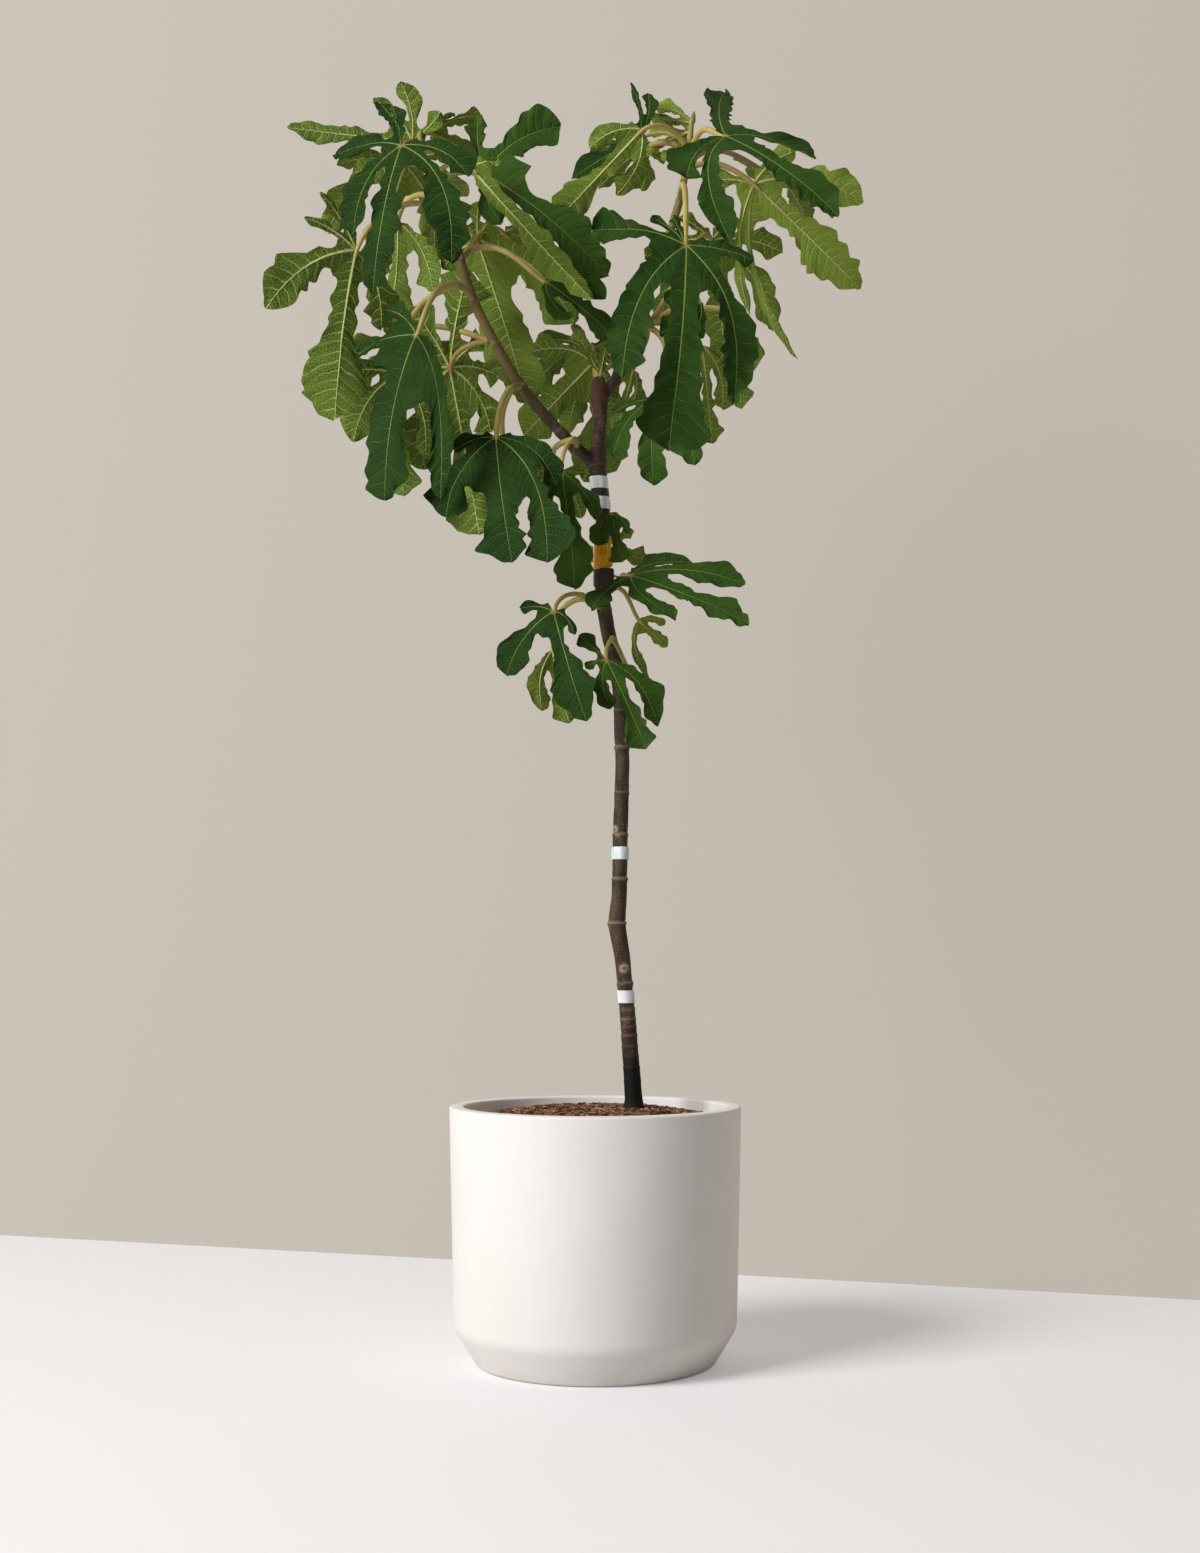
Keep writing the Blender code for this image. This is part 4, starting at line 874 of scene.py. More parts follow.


# limb, height on it (none at its tip), radius of the stem, its path and the leaves on it
# the tone values given to the leaves in this table hold painted light and painted shade for each leaf as well
# as its own tone
masses = {
    "foliage_left_tip": {
        "limb": "bough_left", "height": None, "radius": 0.0045,
        "stem": ((-0.162, -0.012, 1.196), (-0.169, -0.012, 1.212), (-0.176, -0.012, 1.230)),
        "leaves": (
            leaf((-0.244, -0.020, 1.138), (-0.272, -0.006, 0.964), 204, 0.15, 22,
                 ((-29, 0.46, 1.20), (0, 1.00, 1.10), (46, 0.63, 1.10), (106, 0.34, 0.40), (133, 0.37, 0.35)),
                 shade=0.0, cut=0.8),
            leaf((-0.209, 0.055, 1.195), (-0.219, 0.090, 1.098), 165, 0.2, 25,
                 ((-33, 0.76), (0, 1.00), (32, 0.48)), 1.45, shade=0.25, cut=1.2),
            leaf((-0.208, 0.120, 1.282), (-0.253, 0.200, 1.179), 200, 0.4, 35, whole),
            leaf((-0.113, -0.012, 1.218), (0.017, -0.012, 1.118), 4, 0.4, 25,
                 ((-39, 0.37), (0, 1.00, 1.05), (82, 0.69, 1.25), (131, 0.56, 0.60)),
                 0.95, young=0.05, shade=1.0, cut=1.15),
            leaf((-0.124, -0.045, 1.211), (-0.003, -0.060, 1.073), 188, 0.2, 12,
                 ((-60, 0.16), (0, 1.00)), 0.54, shade=0.55),
            leaf((-0.190, -0.100, 1.211), (-0.210, -0.150, 1.046), -18, 0.25, 28,
                 ((-158, 0.38, 0.90), (-150, 0.52, 0.60), (-98, 0.47, 1.35), (-18, 0.62, 1.35),
                  (0, 1.00, 0.85), (28, 0.96, 1.00), (58, 0.54, 1.15)), 0.85, shade=0.0, cut=0.72),
            leaf((-0.192, 0.035, 1.271), (-0.323, 0.030, 1.285), 192, 0.3, 15,
                 ((-31, 0.53), (0, 1.00, 0.50), (40, 0.44, 0.60), (74, 0.45), (130, 0.32)), shade=0.12),
            leaf((-0.173, 0.060, 1.291), (-0.126, 0.090, 1.278), 160, 0.6, 20,
                 ((-71, 0.55), (-47, 0.98), (0, 1.00), (29, 0.64)), 1.2, young=0.25, shade=0.35),
        ),
    },
    "foliage_left_inner": {
        "limb": "bough_left", "height": 1.130, "radius": 0.0032,
        "stem": ((-0.134, 0.000, 1.140), (-0.131, 0.016, 1.152)),
        "leaves": (
            leaf((-0.124, 0.050, 1.173), (-0.076, 0.080, 1.012), 164, 0.15, 22,
                 ((-158, 0.23), (-123, 0.21), (-35, 0.80), (0, 1.00), (72, 0.28), (143, 0.19)),
                 1.3, shade=0.6, cut=1.25),
            leaf((-0.098, 0.100, 1.201), (-0.057, 0.190, 1.147), 150, 0.4, 30, five),
            leaf((-0.051, -0.025, 1.104), (0.022, -0.035, 1.045), 2, 0.3, 15,
                 ((-21, 0.54), (0, 1.00), (25, 0.68)), 1.4, shade=0.75),
        ),
    },
    "foliage_left_outer": {
        "limb": "bough_left", "height": 1.086, "radius": 0.0032,
        "stem": ((-0.133, -0.026, 1.096), (-0.142, -0.036, 1.098)),
        "leaves": (
            leaf((-0.205, 0.034, 1.027), (-0.203, 0.048, 0.902), 190, 0.1, 20,
                 ((-16, 0.71), (0, 1.00), (36, 0.67), (92, 0.45)), 1.2, shade=0.0),
            leaf((-0.177, -0.080, 1.032), (-0.204, -0.110, 0.861), -30, 0.1, 35,
                 ((-130, 0.50, 0.80), (-87, 0.43, 0.90), (0, 1.00, 1.25), (19, 1.06, 0.60)),
                 0.82, shade=0.02, cut=1.7),
        ),
    },
    "foliage_left_back": {
        "limb": "bough_left", "height": 1.044, "radius": 0.0032,
        "stem": ((-0.106, 0.002, 1.052), (-0.112, 0.014, 1.056)),
        "leaves": (
            leaf((-0.210, 0.110, 1.082), (-0.232, 0.170, 0.978), 212, 0.3, 30, whole),
            leaf((-0.154, 0.055, 1.041), (-0.124, 0.090, 0.869), 180, 0.15, 20,
                 ((-158, 0.56), (-118, 0.25), (-70, 0.30), (-23, 0.44), (0, 1.00), (25, 0.61), (80, 0.34),
                  (158, 0.40)), 1.65, shade=0.15, cut=1.6),
        ),
    },
    "foliage_low_left": {
        "limb": "bough_left", "height": 1.001, "radius": 0.0032,
        "stem": ((-0.081, -0.026, 0.998), (-0.087, -0.040, 0.990)),
        "leaves": (
            leaf((-0.094, 0.020, 0.944), (-0.101, 0.050, 0.857), 150, 0.3, 25, five),
            leaf((-0.098, -0.080, 0.931), (-0.080, -0.130, 0.797), -12, 0.25, 30,
                 ((-93, 0.31, 1.10), (-34, 0.70, 1.30), (0, 1.00, 1.30), (13, 1.09, 1.20), (39, 0.60)),
                 1.2, shade=0.02, cut=1.9),
        ),
    },
    "foliage_fork_left": {
        "limb": "bough_left", "height": 0.940, "radius": 0.0032,
        "stem": ((-0.020, -0.022, 0.944), (-0.024, -0.030, 0.942)),
        "leaves": (
            leaf((-0.046, 0.045, 0.924), (-0.060, 0.090, 0.855), 205, 0.3, 25, five),
            leaf((-0.034, -0.045, 0.905), (-0.022, -0.070, 0.781), 16, 0.2, 25,
                 ((-19, 0.63), (0, 1.00), (28, 0.49, 0.60)), 1.25, young=0.06, shade=1.0),
        ),
    },
    "foliage_centre": {
        "limb": "trunk", "height": 0.998, "radius": 0.0032,
        "stem": ((0.003, 0.016, 1.004), (0.002, 0.026, 1.014)),
        "leaves": (
            leaf((0.006, 0.030, 1.029), (0.013, 0.035, 1.067), 180, 0.3, 12,
                 ((-37, 0.67), (0, 1.00), (27, 0.72)), 1.2, young=0.2, shade=0.3),
            leaf((-0.002, 0.045, 1.043), (-0.077, 0.085, 0.977), 192, 0.2, 22,
                 ((-40, 1.16), (0, 1.00), (55, 0.63), (99, 0.34)), 1.4, shade=0.35, cut=1.3),
            leaf((-0.008, 0.100, 1.074), (-0.037, 0.170, 1.000), 160, 0.4, 30, whole),
        ),
    },
    "foliage_right_tip": {
        "limb": "bough_right", "height": None, "radius": 0.0034,
        "stem": ((0.096, 0.020, 1.245), (0.098, 0.020, 1.258), (0.100, 0.020, 1.284)),
        "leaves": (
            leaf((0.166, 0.030, 1.225), (0.279, 0.050, 1.123), 158, 0.2, 20,
                 ((-79, 0.34), (-33, 0.75, 1.00), (0, 1.00, 1.05), (32, 1.20, 0.20), (49, 0.85, 0.30),
                  (142, 0.32)), 0.92, young=0.08, shade=0.9, cut=0.75),
            leaf((0.188, 0.110, 1.270), (0.246, 0.200, 1.247), 125, 0.4, 30, five),
            leaf((0.048, 0.080, 1.282), (0.003, 0.130, 1.261), 208, 0.3, 25, five),
            leaf((0.129, -0.070, 1.233), (0.232, -0.130, 1.125), 22, 0.35, 28,
                 ((-68, 0.56, 2.20), (-41, 1.00, 0.85), (0, 1.00, 0.90), (42, 0.58, 2.00), (136, 0.94, 0.80)),
                 0.8, shade=0.45, cut=0.8),
            leaf((0.048, -0.012, 1.264), (-0.047, -0.015, 1.162), 190, 0.2, 12,
                 ((-22, 0.49), (0, 1.00), (26, 0.42)), shade=0.45),
            leaf((0.047, 0.015, 1.269), (-0.024, 0.020, 1.225), -15, 0.3, 12,
                 ((-127, 0.67), (-110, 0.89, 0.30), (0, 1.00)), shade=0.1),
            leaf((0.093, 0.045, 1.284), (0.050, 0.070, 1.275), 180, 0.4, 20,
                 ((-60, 0.61), (-20, 0.72), (0, 1.00), (20, 0.80)), 1.2, young=0.5, shade=0.6),
            leaf((0.100, 0.040, 1.294), (0.058, 0.055, 1.305), 180, 0.5, 20,
                 ((-51, 0.37), (0, 1.00), (14, 0.93)), 1.3, young=0.45, shade=0.6),
        ),
    },
    "foliage_right_front": {
        "limb": "bough_right", "height": 1.204, "radius": 0.0032,
        "stem": ((0.088, 0.004, 1.209), (0.089, -0.008, 1.209)),
        "leaves": (
            leaf((0.089, -0.095, 1.115), (0.073, -0.155, 0.902), 10, 0.15, 26,
                 ((-158, 0.17, 0.70), (-135, 0.22, 0.80), (-97, 0.42, 1.25), (-19, 0.75, 0.82),
                  (0, 1.00, 1.60), (20, 0.79, 0.64), (88, 0.31, 0.90)), 1.1, shade=0.36, cut=1.0),
        ),
    },
    "foliage_right_back": {
        "limb": "bough_right", "height": 1.070, "radius": 0.0032,
        "stem": ((0.050, 0.026, 1.076), (0.058, 0.036, 1.082)),
        "leaves": (
            leaf((0.058, -0.020, 0.985), (0.057, -0.035, 0.896), -14, 0.25, 22,
                 ((-76, 0.49, 0.50), (-36, 0.78), (0, 1.00), (31, 0.96)), 1.25, shade=0.9),
            leaf((0.108, 0.010, 1.097), (0.067, 0.010, 1.059), 0, 0.2, 20,
                 ((-45, 0.66), (0, 1.00), (34, 0.78)), 1.3, shade=0.1),
            leaf((0.040, 0.030, 1.031), (0.021, 0.045, 0.969), 160, 0.2, 20,
                 ((-14, 0.53), (0, 1.00), (27, 0.61)), 1.2, shade=0.3),
            leaf((0.147, 0.040, 1.086), (0.155, 0.060, 0.998), 160, 0.2, 20,
                 ((-14, 0.61), (0, 1.00), (19, 0.68)), 1.2, shade=0.3),
            leaf((0.113, 0.060, 1.066), (0.122, 0.080, 0.968), 150, 0.2, 20,
                 ((-14, 0.70), (0, 1.00), (17, 0.77)), 1.2, shade=0.3),
            leaf((0.127, 0.110, 1.196), (0.143, 0.190, 1.079), 158, 0.4, 30, whole),
        ),
    },
    "shoot_right": {
        "limb": "trunk", "height": 0.790, "radius": 0.0032,
        "stem": ((0.018, -0.008, 0.794), (0.024, -0.016, 0.798)),
        "leaves": (
            leaf((0.044, -0.020, 0.760), (0.074, 0.000, 0.737), 180, 0.4, 20,
                 ((-31, 0.67), (0, 1.00), (36, 1.47, 0.50)), 1.1, young=0.75, shade=0.4),
            leaf((0.035, -0.070, 0.796), (0.147, -0.120, 0.733), 14, 0.8, 22,
                 ((-89, 0.50, 1.10), (-23, 0.60, 1.20), (0, 1.00, 1.15), (34, 0.83, 1.20), (69, 0.55, 1.40)),
                 0.9, shade=0.85),
            leaf((0.049, 0.050, 0.815), (0.101, 0.110, 0.805), 130, 0.5, 25, five),
        ),
    },
    "shoot_left": {
        "limb": "trunk", "height": 0.776, "radius": 0.0032,
        "stem": ((-0.004, -0.004, 0.782), (-0.014, -0.012, 0.788)),
        "leaves": (
            leaf((-0.045, 0.030, 0.738), (-0.029, 0.040, 0.661), 205, 0.2, 20,
                 ((-24, 0.80), (0, 1.00), (24, 0.83)), 1.2, shade=0.3),
            leaf((-0.042, -0.045, 0.765), (-0.007, -0.070, 0.651), -20, 0.2, 28,
                 ((-122, 0.33, 0.80), (-56, 0.65, 1.15), (0, 1.00, 1.10), (23, 0.30, 0.50)), 1.1, shade=0.0),
        ),
    },
    "shoot_low": {
        "limb": "trunk", "height": 0.742, "radius": 0.0032,
        "stem": ((0.018, -0.008, 0.744), (0.017, -0.020, 0.742)),
        "leaves": (
            leaf((0.039, -0.008, 0.704), (0.065, -0.005, 0.665), 20, 0.3, 15,
                 ((0, 1.00), (43, 0.45)), shade=0.4),
            leaf((0.011, -0.045, 0.716), (0.050, -0.060, 0.624), 10, 0.2, 22,
                 ((-158, 0.38), (-90, 0.22), (-18, 0.52), (0, 1.00), (14, 0.85)), 1.2, shade=0.85),
        ),
    },
    "shoot_upper": {
        "limb": "trunk", "height": 0.862, "radius": 0.0030,
        "stem": ((0.014, -0.014, 0.862), (0.014, -0.022, 0.858)),
        "leaves": (
            leaf((0.016, -0.026, 0.869), (0.027, -0.036, 0.816), 0, 0.3, 20,
                 ((-30, 0.71, 1.10), (0, 1.00, 1.20), (24, 0.54, 0.60)), 1.7, young=0.35, shade=0.6, cut=1.8),
            leaf((0.020, 0.000, 0.840), (0.053, 0.010, 0.825), 180, 0.5, 15,
                 ((-68, 0.67), (0, 1.00)), 1.7, young=0.35, shade=0.6),
        ),
    },
}


leafGroups = {
    "leavesLeft": ("foliage_left_tip", "foliage_left_inner"),
    "leavesLeftLow": ("foliage_left_outer", "foliage_left_back", "foliage_low_left", "foliage_fork_left"),
    "leavesRight": ("foliage_right_tip", "foliage_right_front"),
    "leavesMiddle": ("foliage_centre", "foliage_right_back"),
    "leavesShoots": ("shoot_right", "shoot_left", "shoot_low", "shoot_upper"),
}


def dirOf(heading, length):
    return Vector((math.cos(heading), math.sin(heading))) * length


def lobeAt(lobe, share):
    # place on the bowed midrib of a lobe, and its direction there
    bend = dirOf(lobe["start"], lobe["reach"] / 2)
    end = dirOf(lobe["end"], lobe["reach"])
    place = bend * 2 * share * (1 - share) + end * share * share
    return place, (bend * (1 - share) + (end - bend) * share).normalized()


def headingAt(lobe, radius):
    place = lobeAt(lobe, min(1.0, radius / lobe["reach"]))[0]
    return math.atan2(place.y, place.x)


def bladeLobes(length, spec, rng):
    lobes = []
    limit = leafForm["spreadLimit"] - leafForm["heelAngle"] / 3
    for heading, share, *wide in spec["lobes"]:
        bow = leafForm["bow"] * min(1.0, leafForm["bowFade"] / max(abs(heading), 1.0)) + rng.uniform(-4, 4)
        start = heading + math.copysign(bow, heading) if heading else 0.0
        width = leafForm["lobeWidth"] * spec["slim"] * (wide[0] if wide else 1.0)
        lobe = {
            "start": math.radians(max(-limit, min(limit, start))), "end": math.radians(heading),
            "reach": share * length, "half": width * length * share ** 0.7,
        }
        lobe["points"] = [lobeAt(lobe, k / 10)[0] for k in range(11)]
        lobes.append(lobe)
    return lobes


def outlineAt(share):
    rows = leafForm["outline"]
    for (a, low), (b, high) in zip(rows, rows[1:]):
        if share <= b:
            return low + (high - low) * (share - a) / (b - a)
    return 0.0


def lobeBorder(lobes, k, turn, length, cut):
    # where one half of a lobe parts from its neighbour, or from the heel of the leaf
    lobe = lobes[k]
    if 0 <= k + turn < len(lobes):
        other = lobes[k + turn]
        tight = math.radians(leafForm["tightTurn"])
        depth = leafForm["sinusDepth"] * cut
        depth *= 1 + max(0.0, (tight - abs(other["start"] - lobe["start"])) / tight)
        mean = (lobe["reach"] + other["reach"]) / 2
        sinus = min(depth * mean, 0.7 * lobe["reach"], 0.7 * other["reach"])
        border = (headingAt(lobe, sinus) + headingAt(other, sinus)) / 2
    else:
        sinus = min(leafForm["heelDepth"] * length, 0.5 * lobe["reach"])
        limit = math.radians(leafForm["spreadLimit"])
        border = max(-limit, min(limit, lobe["start"] + turn * math.radians(leafForm["heelAngle"])))
    slope = abs(border - headingAt(lobe, sinus))
    along = sinus * math.cos(slope) / lobe["reach"]
    across = sinus * math.sin(slope)
    first = max(0.4 * along, along - leafForm["slant"] * across / lobe["reach"])
    return {"sinus": sinus, "border": border, "along": along, "across": across, "first": first}


def newTeeth(reach, size, finer):
    # uneven teeth along one edge, each leaning to the tip: start, run, height, place of its peak
    teeth = []
    spot = -finer.uniform(0.0, leafForm["toothRun"][0])
    while spot < reach:
        run = finer.uniform(*leafForm["toothRun"]) * size
        teeth.append((spot, run, finer.uniform(0.25, 1.20), finer.uniform(0.40, 0.78)))
        spot += run
    return teeth


def toothAt(teeth, along):
    for start, run, high, peak in teeth:
        if along < start + run:
            share = (along - start) / run
            return high * (share / peak if share < peak else (1 - share) / (1 - peak)) ** 0.85
    return 0.0


def sideRows(lobes, k, turn, edge, count, finer, size):
    # rows over the free part of half a lobe: share of the midrib, place on the edge, half width, share
    lobe = lobes[k]
    rows = []
    corner = dirOf(edge["border"], edge["sinus"])
    points = lobes[(k + turn) % len(lobes)]["points"] if len(lobes) > 1 else None
    teeth = newTeeth(lobe["reach"], size, finer)
    tooth = min(leafForm["tooth"] * size, leafForm["toothShare"] * lobe["half"])
    waves, shift = finer.uniform(0.8, 1.9), finer.uniform(0.0, math.tau)
    blunt = finer.uniform(0.75, 1.25)
    for row in range(1, count + 1):
        share = 1 - (1 - row / count) ** 1.3
        t = edge["along"] + (1 - edge["along"]) * share
        place, run = lobeAt(lobe, t)
        half = outlineAt(share) ** (blunt if share > 0.7 else 1.0) * lobe["half"]
        half *= 1 + leafForm["uneven"] * math.sin(math.tau * waves * share + shift)
        if points:
            clear = leafForm["sinusClear"] * (0.70 + 0.70 * share * share)
            half = min(half, clear * min((point - place).length for point in points))
        fade = min(1.0, share / 0.18) * min(1.0, (1 - share) / 0.035)
        wide = half + tooth * (toothAt(teeth, t * lobe["reach"]) - 0.5) * fade
        side = Vector((-run.y, run.x)) * turn * wide
        ease = math.sqrt(1 - (1 - min(1.0, share / 0.16)) ** 2)
        along = t - leafForm["slant"] * half / lobe["reach"]
        rows.append((along, corner.lerp(place + side, ease), half, share))
    return rows


def newLayers(bm):
    verts, loops = bm.verts.layers, bm.loops.layers
    return (verts.float_vector.new("rise"), verts.float_color.new("leafTone"), verts.float.new("under"),
            loops.uv.new("ribs"), loops.uv.new("laterals"))


def thickenBlade(bm, rise, under, ribs, laterals):
    # a lower side with raised ribs, and a wall between the two sides
    made, faces = bm.verts[:], bm.faces[:]
    spin = sum(face.normal.dot(face.verts[0][rise]) * face.calc_area() for face in faces)
    if spin < 0:
        bmesh.ops.reverse_faces(bm, faces=faces)
    rim = [edge for edge in bm.edges if edge.is_boundary]
    copied = bmesh.ops.duplicate(bm, geom=faces)
    lower = [item for item in copied["geom"] if isinstance(item, bmesh.types.BMVert)]
    below = [item for item in copied["geom"] if isinstance(item, bmesh.types.BMFace)]
    bmesh.ops.reverse_faces(bm, faces=below)
    for face in below:
        face.material_index = 1
    half = leafForm["thick"] / 2
    for corner in made:
        corner.co += corner[rise].normalized() * (half - corner[under] * leafForm["ribAbove"])
    for corner in lower:
        corner.co -= corner[rise].normalized() * (half + corner[under])
    pairs = copied["vert_map"]
    for edge in rim:
        source = edge.link_loops[0].face
        a, b = edge.verts
        if edge.link_loops[0].vert is a:
            a, b = b, a
        wall = bm.faces.new((a, b, pairs[b], pairs[a]))
        for loop in wall.loops:
            # each corner of the wall takes the maps of the blade's corner beside it
            twin = next(other for other in source.loops if loop.vert in (other.vert, pairs[other.vert]))
            loop[ribs].uv = twin[ribs].uv
            loop[laterals].uv = twin[laterals].uv


def growBlade(target, spec, seed):
    bm = bmesh.new()
    rng = random.Random(seed)
    finer = random.Random(seed + " fine")
    chord = spec["tip"] - spec["base"]
    droop = spec["droop"]
    length = chord.length * (droop / 2) / math.sin(droop / 2)
    axis = chord.normalized()
    face = Vector((math.sin(spec["faces"]), -math.cos(spec["faces"]), spec["up"]))
    face = (face - face.dot(axis) * axis).normalized()
    forward = axis * math.cos(droop / 2) + face * math.sin(droop / 2)
    normal = face * math.cos(droop / 2) - axis * math.sin(droop / 2)
    left = normal.cross(forward)
    rise, tone, under, ribs, laterals = newLayers(bm)
    spacing = max(leafForm["lateralLeast"], leafForm["lateral"] * length)
    columns = leafForm["columns"]
    palm = leafForm["palmRows"]
    fold = leafForm["fold"]
    # leaves without a given tone get a random one of their own; the given tones also hold painted light and
    # painted shade
    shade = spec["shade"] if spec["shade"] is not None else finer.uniform(0.05, 0.75)
    size = min(1.0, length * 4)
    toothSize = min(1.0, 0.30 + length * 5)

    def settle(corner, flat, lift):
        # bends the flat blade down, most along its tip lobe
        radius = max(flat.length, 1e-9)
        c, s = flat.x / radius, flat.y / radius
        bend = droop / length * (0.4 + 0.6 * (1 + c) / 2)
        turn = bend * radius
        reach = math.sin(turn) / bend
        up = Vector((math.sin(turn) * c, math.sin(turn) * s, math.cos(turn)))
        local = Vector((reach * c, reach * s, (math.cos(turn) - 1) / bend)) + up * lift
        corner.co = spec["base"] + forward * local.x + left * local.y + normal * local.z
        corner[rise] = forward * up.x + left * up.y + normal * up.z

    lobes = bladeLobes(length, spec, rng)
    for k, lobe in enumerate(lobes):
        edges = [lobeBorder(lobes, k, turn, length, spec["cut"]) for turn in (-1, 1)]
        free = (1 - min(edge["along"] for edge in edges)) * lobe["reach"]
        fewest, most = leafForm["rowLimits"]
        count = max(fewest, min(most, round(free / leafForm["rowStep"])))
        sides = [sideRows(lobes, k, turn, edge, count, finer, toothSize)
                 for turn, edge in zip((-1, 1), edges)]
        first = (edges[0]["first"] + edges[1]["first"]) / 2
        middle = [first * row / palm for row in range(palm + 1)]
        for a, b in zip(*sides):
            middle.append(min(1.0, max(middle[-1] + 0.0008, (a[0] + b[0]) / 2)))
        middle[-1] = 1.0
        twist = finer.uniform(-1, 1) * leafForm["twist"]
        pitch = finer.uniform(*leafForm["pitch"])
        for turn, edge, rows in zip((-1, 1), edges, sides):
            phase = rng.uniform(0, math.tau)
            ruffle = finer.uniform(0, math.tau)
            values = {}

            def place(corner, i, j):
                c = columns[i]
                t = middle[j]
                along = t * lobe["reach"]
                mid, run = lobeAt(lobe, t)
                if j <= palm:
                    share = 0.0
                    rim = dirOf(edge["border"], edge["sinus"] * j / palm)
                    lift = fold * edge["across"] * j / palm
                else:
                    _, rim, half, share = rows[j - palm - 1]
                    wave = leafForm["wave"] * length * share * math.sin(phase + share * 5.0)
                    spot = Vector((along * leafForm["ripples"], ruffle * 9, c))
                    ripple = leafForm["ripple"] * noise.noise(spot) * min(1.0, share * 4)
                    ease = min(1.0, share / 0.10)
                    lift = fold * (edge["across"] * (1 - ease) + half * ease) + wave + ripple
                dist = (rim - mid).length
                flat = mid.lerp(rim, c) - run * (leafForm["bowOut"] * c * (1 - c) * dist)
                height = lift * c ** 1.35 + twist * turn * c * dist * share
                settle(corner, flat, height + pitch * lobe["reach"] * share ** 2)
                corner[tone] = (shade, spec["young"], t, size)
                rib = leafForm["ribHeight"] * (1 - 0.75 * t) * (0.35 + 0.65 * size)
                corner[under] = rib if i == 0 else 0.0
                # distance along and across the midrib, then the number of the side vein and the share across
                values[corner] = ((along, dist * c * turn), (along / spacing + (0.5 if turn > 0 else 0.0), c))

            spots = shapeGrid(bm, len(columns) - 1, palm + count, place)
            faces = {face for corner in spots for face in corner.link_faces}
            if turn < 0:
                bmesh.ops.reverse_faces(bm, faces=list(faces))
            for face in faces:
                for loop in face.loops:
                    loop[ribs].uv, loop[laterals].uv = values[loop.vert]
    bmesh.ops.remove_doubles(bm, verts=bm.verts, dist=0.00002)
    thickenBlade(bm, rise, under, ribs, laterals)
    joinInto(target, bm)
    return forward, normal


def petiolePath(root, up, spec, forward, normal):
    # leaves the stem between its own direction and the blade's, and ends inside the blade's heel
    base = spec["base"] - normal * petioleForm["under"]
    alongStem, upward = petioleForm["leave"]
    leave = (spec["base"] - root).normalized() + up * alongStem + Vector((0, 0, upward))
    reach = (base - root).length
    early, late = petioleForm["pulls"]
    b = root + leave.normalized() * reach * early
    c = base - forward * reach * late
    d = base + forward * petioleForm["sink"]
    path = []
    for k in range(petioleForm["steps"] + 1):
        t = k / petioleForm["steps"]
        point = root * (1 - t) ** 3 + b * 3 * t * (1 - t) ** 2 + c * 3 * t * t * (1 - t) + d * t ** 3
        radius = petioleForm["root"] + (petioleForm["tip"] - petioleForm["root"]) * t
        radius *= min(1.0, 0.35 + reach * 9)
        radius += petioleForm["collar"] * hill(t, 0.06) - petioleForm["waist"] * hill(t - 1, 0.10)
        path.append((*point, radius))
    return path


def stemPath(name):
    # the stem's corner points, and its smooth path with a radius each
    mass = masses[name]
    if mass["height"] is None:
        # it goes on straight from the end of its bough
        last = limbs[mass["limb"]][-1]
        before = Vector(limbPath(mass["limb"], barkForm["sourceSteps"])[-2][:3])
        run = (Vector(last[:3]) - before).normalized()
        start = Vector(last[:3]) + run * stemForm["gap"]
        places = [start, start + run * stemForm["straight"]]
        radius = last[3]
    else:
        source = limbPath(mass["limb"], barkForm["sourceSteps"])
        places = [Vector(pathAt(source, mass["height"])[:3])]
        radius = mass["radius"]
    places += [Vector(place) for place in mass["stem"]]
    count = len(places) - 1
    thin = mass["radius"] * stemForm["taper"]
    rows = [(*place, radius + (thin - radius) * k / count) for k, place in enumerate(places)]
    if mass["height"] is None:
        path = rows[:1] + smoothPath(rows[1:], stemForm["tipSteps"])
    else:
        path = smoothPath(rows, stemForm["steps"])
    if name == "foliage_right_tip":
        x, y, z, radius = path[-1]
        path += [(x + out, y, z + rise, radius * share) for out, rise, share in stemForm["bud"]]
    return places, path


def stemTone(name, path):
    # only the left tip is red low down and dark at its end
    lowest, highest = path[0][2], path[-1][2]

    def tone(centre, out):
        if name != "foliage_left_tip":
            return (0.30, 0.12, 0.0, 1.0)
        share = (centre.z - lowest) / (highest - lowest)
        return (0.30, 0.55 * hill(share - 0.30, 0.12), 0.85 * hill(share - 1.0, 0.10), 1.0)

    return tone


def addStalk(stalks, path, around, tone):
    fresh = bmesh.new()
    layer = fresh.verts.layers.float_color.new("stalkTone")

    def relief(centre, out):
        return stemForm["uneven"] * noise.noise(centre * 260 + out * 2)

    wrapTube(fresh, path, around, relief, layer, tone)
    joinInto(stalks, fresh)


def growMass(name, blades, stalks):
    places, path = stemPath(name)
    addStalk(stalks, path, stemForm["around"], stemTone(name, path))
    leaves = masses[name]["leaves"]
    first = stemForm["firstAtTip" if masses[name]["height"] is None else "first"]
    for index, spec in enumerate(leaves):
        share = first + (stemForm["last"] - first) * (index + 1) / len(leaves)
        spot = share * (len(places) - 1)
        k = min(int(spot), len(places) - 2)
        root = places[k].lerp(places[k + 1], spot - k)
        up = (places[k + 1] - places[k]).normalized()
        seed = "%s %d" % (name, index)
        forward, normal = growBlade(blades, spec, seed)
        tint = random.Random(seed + " stalk")
        tone = (tint.uniform(0.55, 1.0), max(0.0, tint.uniform(-0.7, 0.35)), 0.0, 1.0)
        addStalk(stalks, petiolePath(root, up, spec, forward, normal), petioleForm["around"],
                 lambda centre, out: tone)


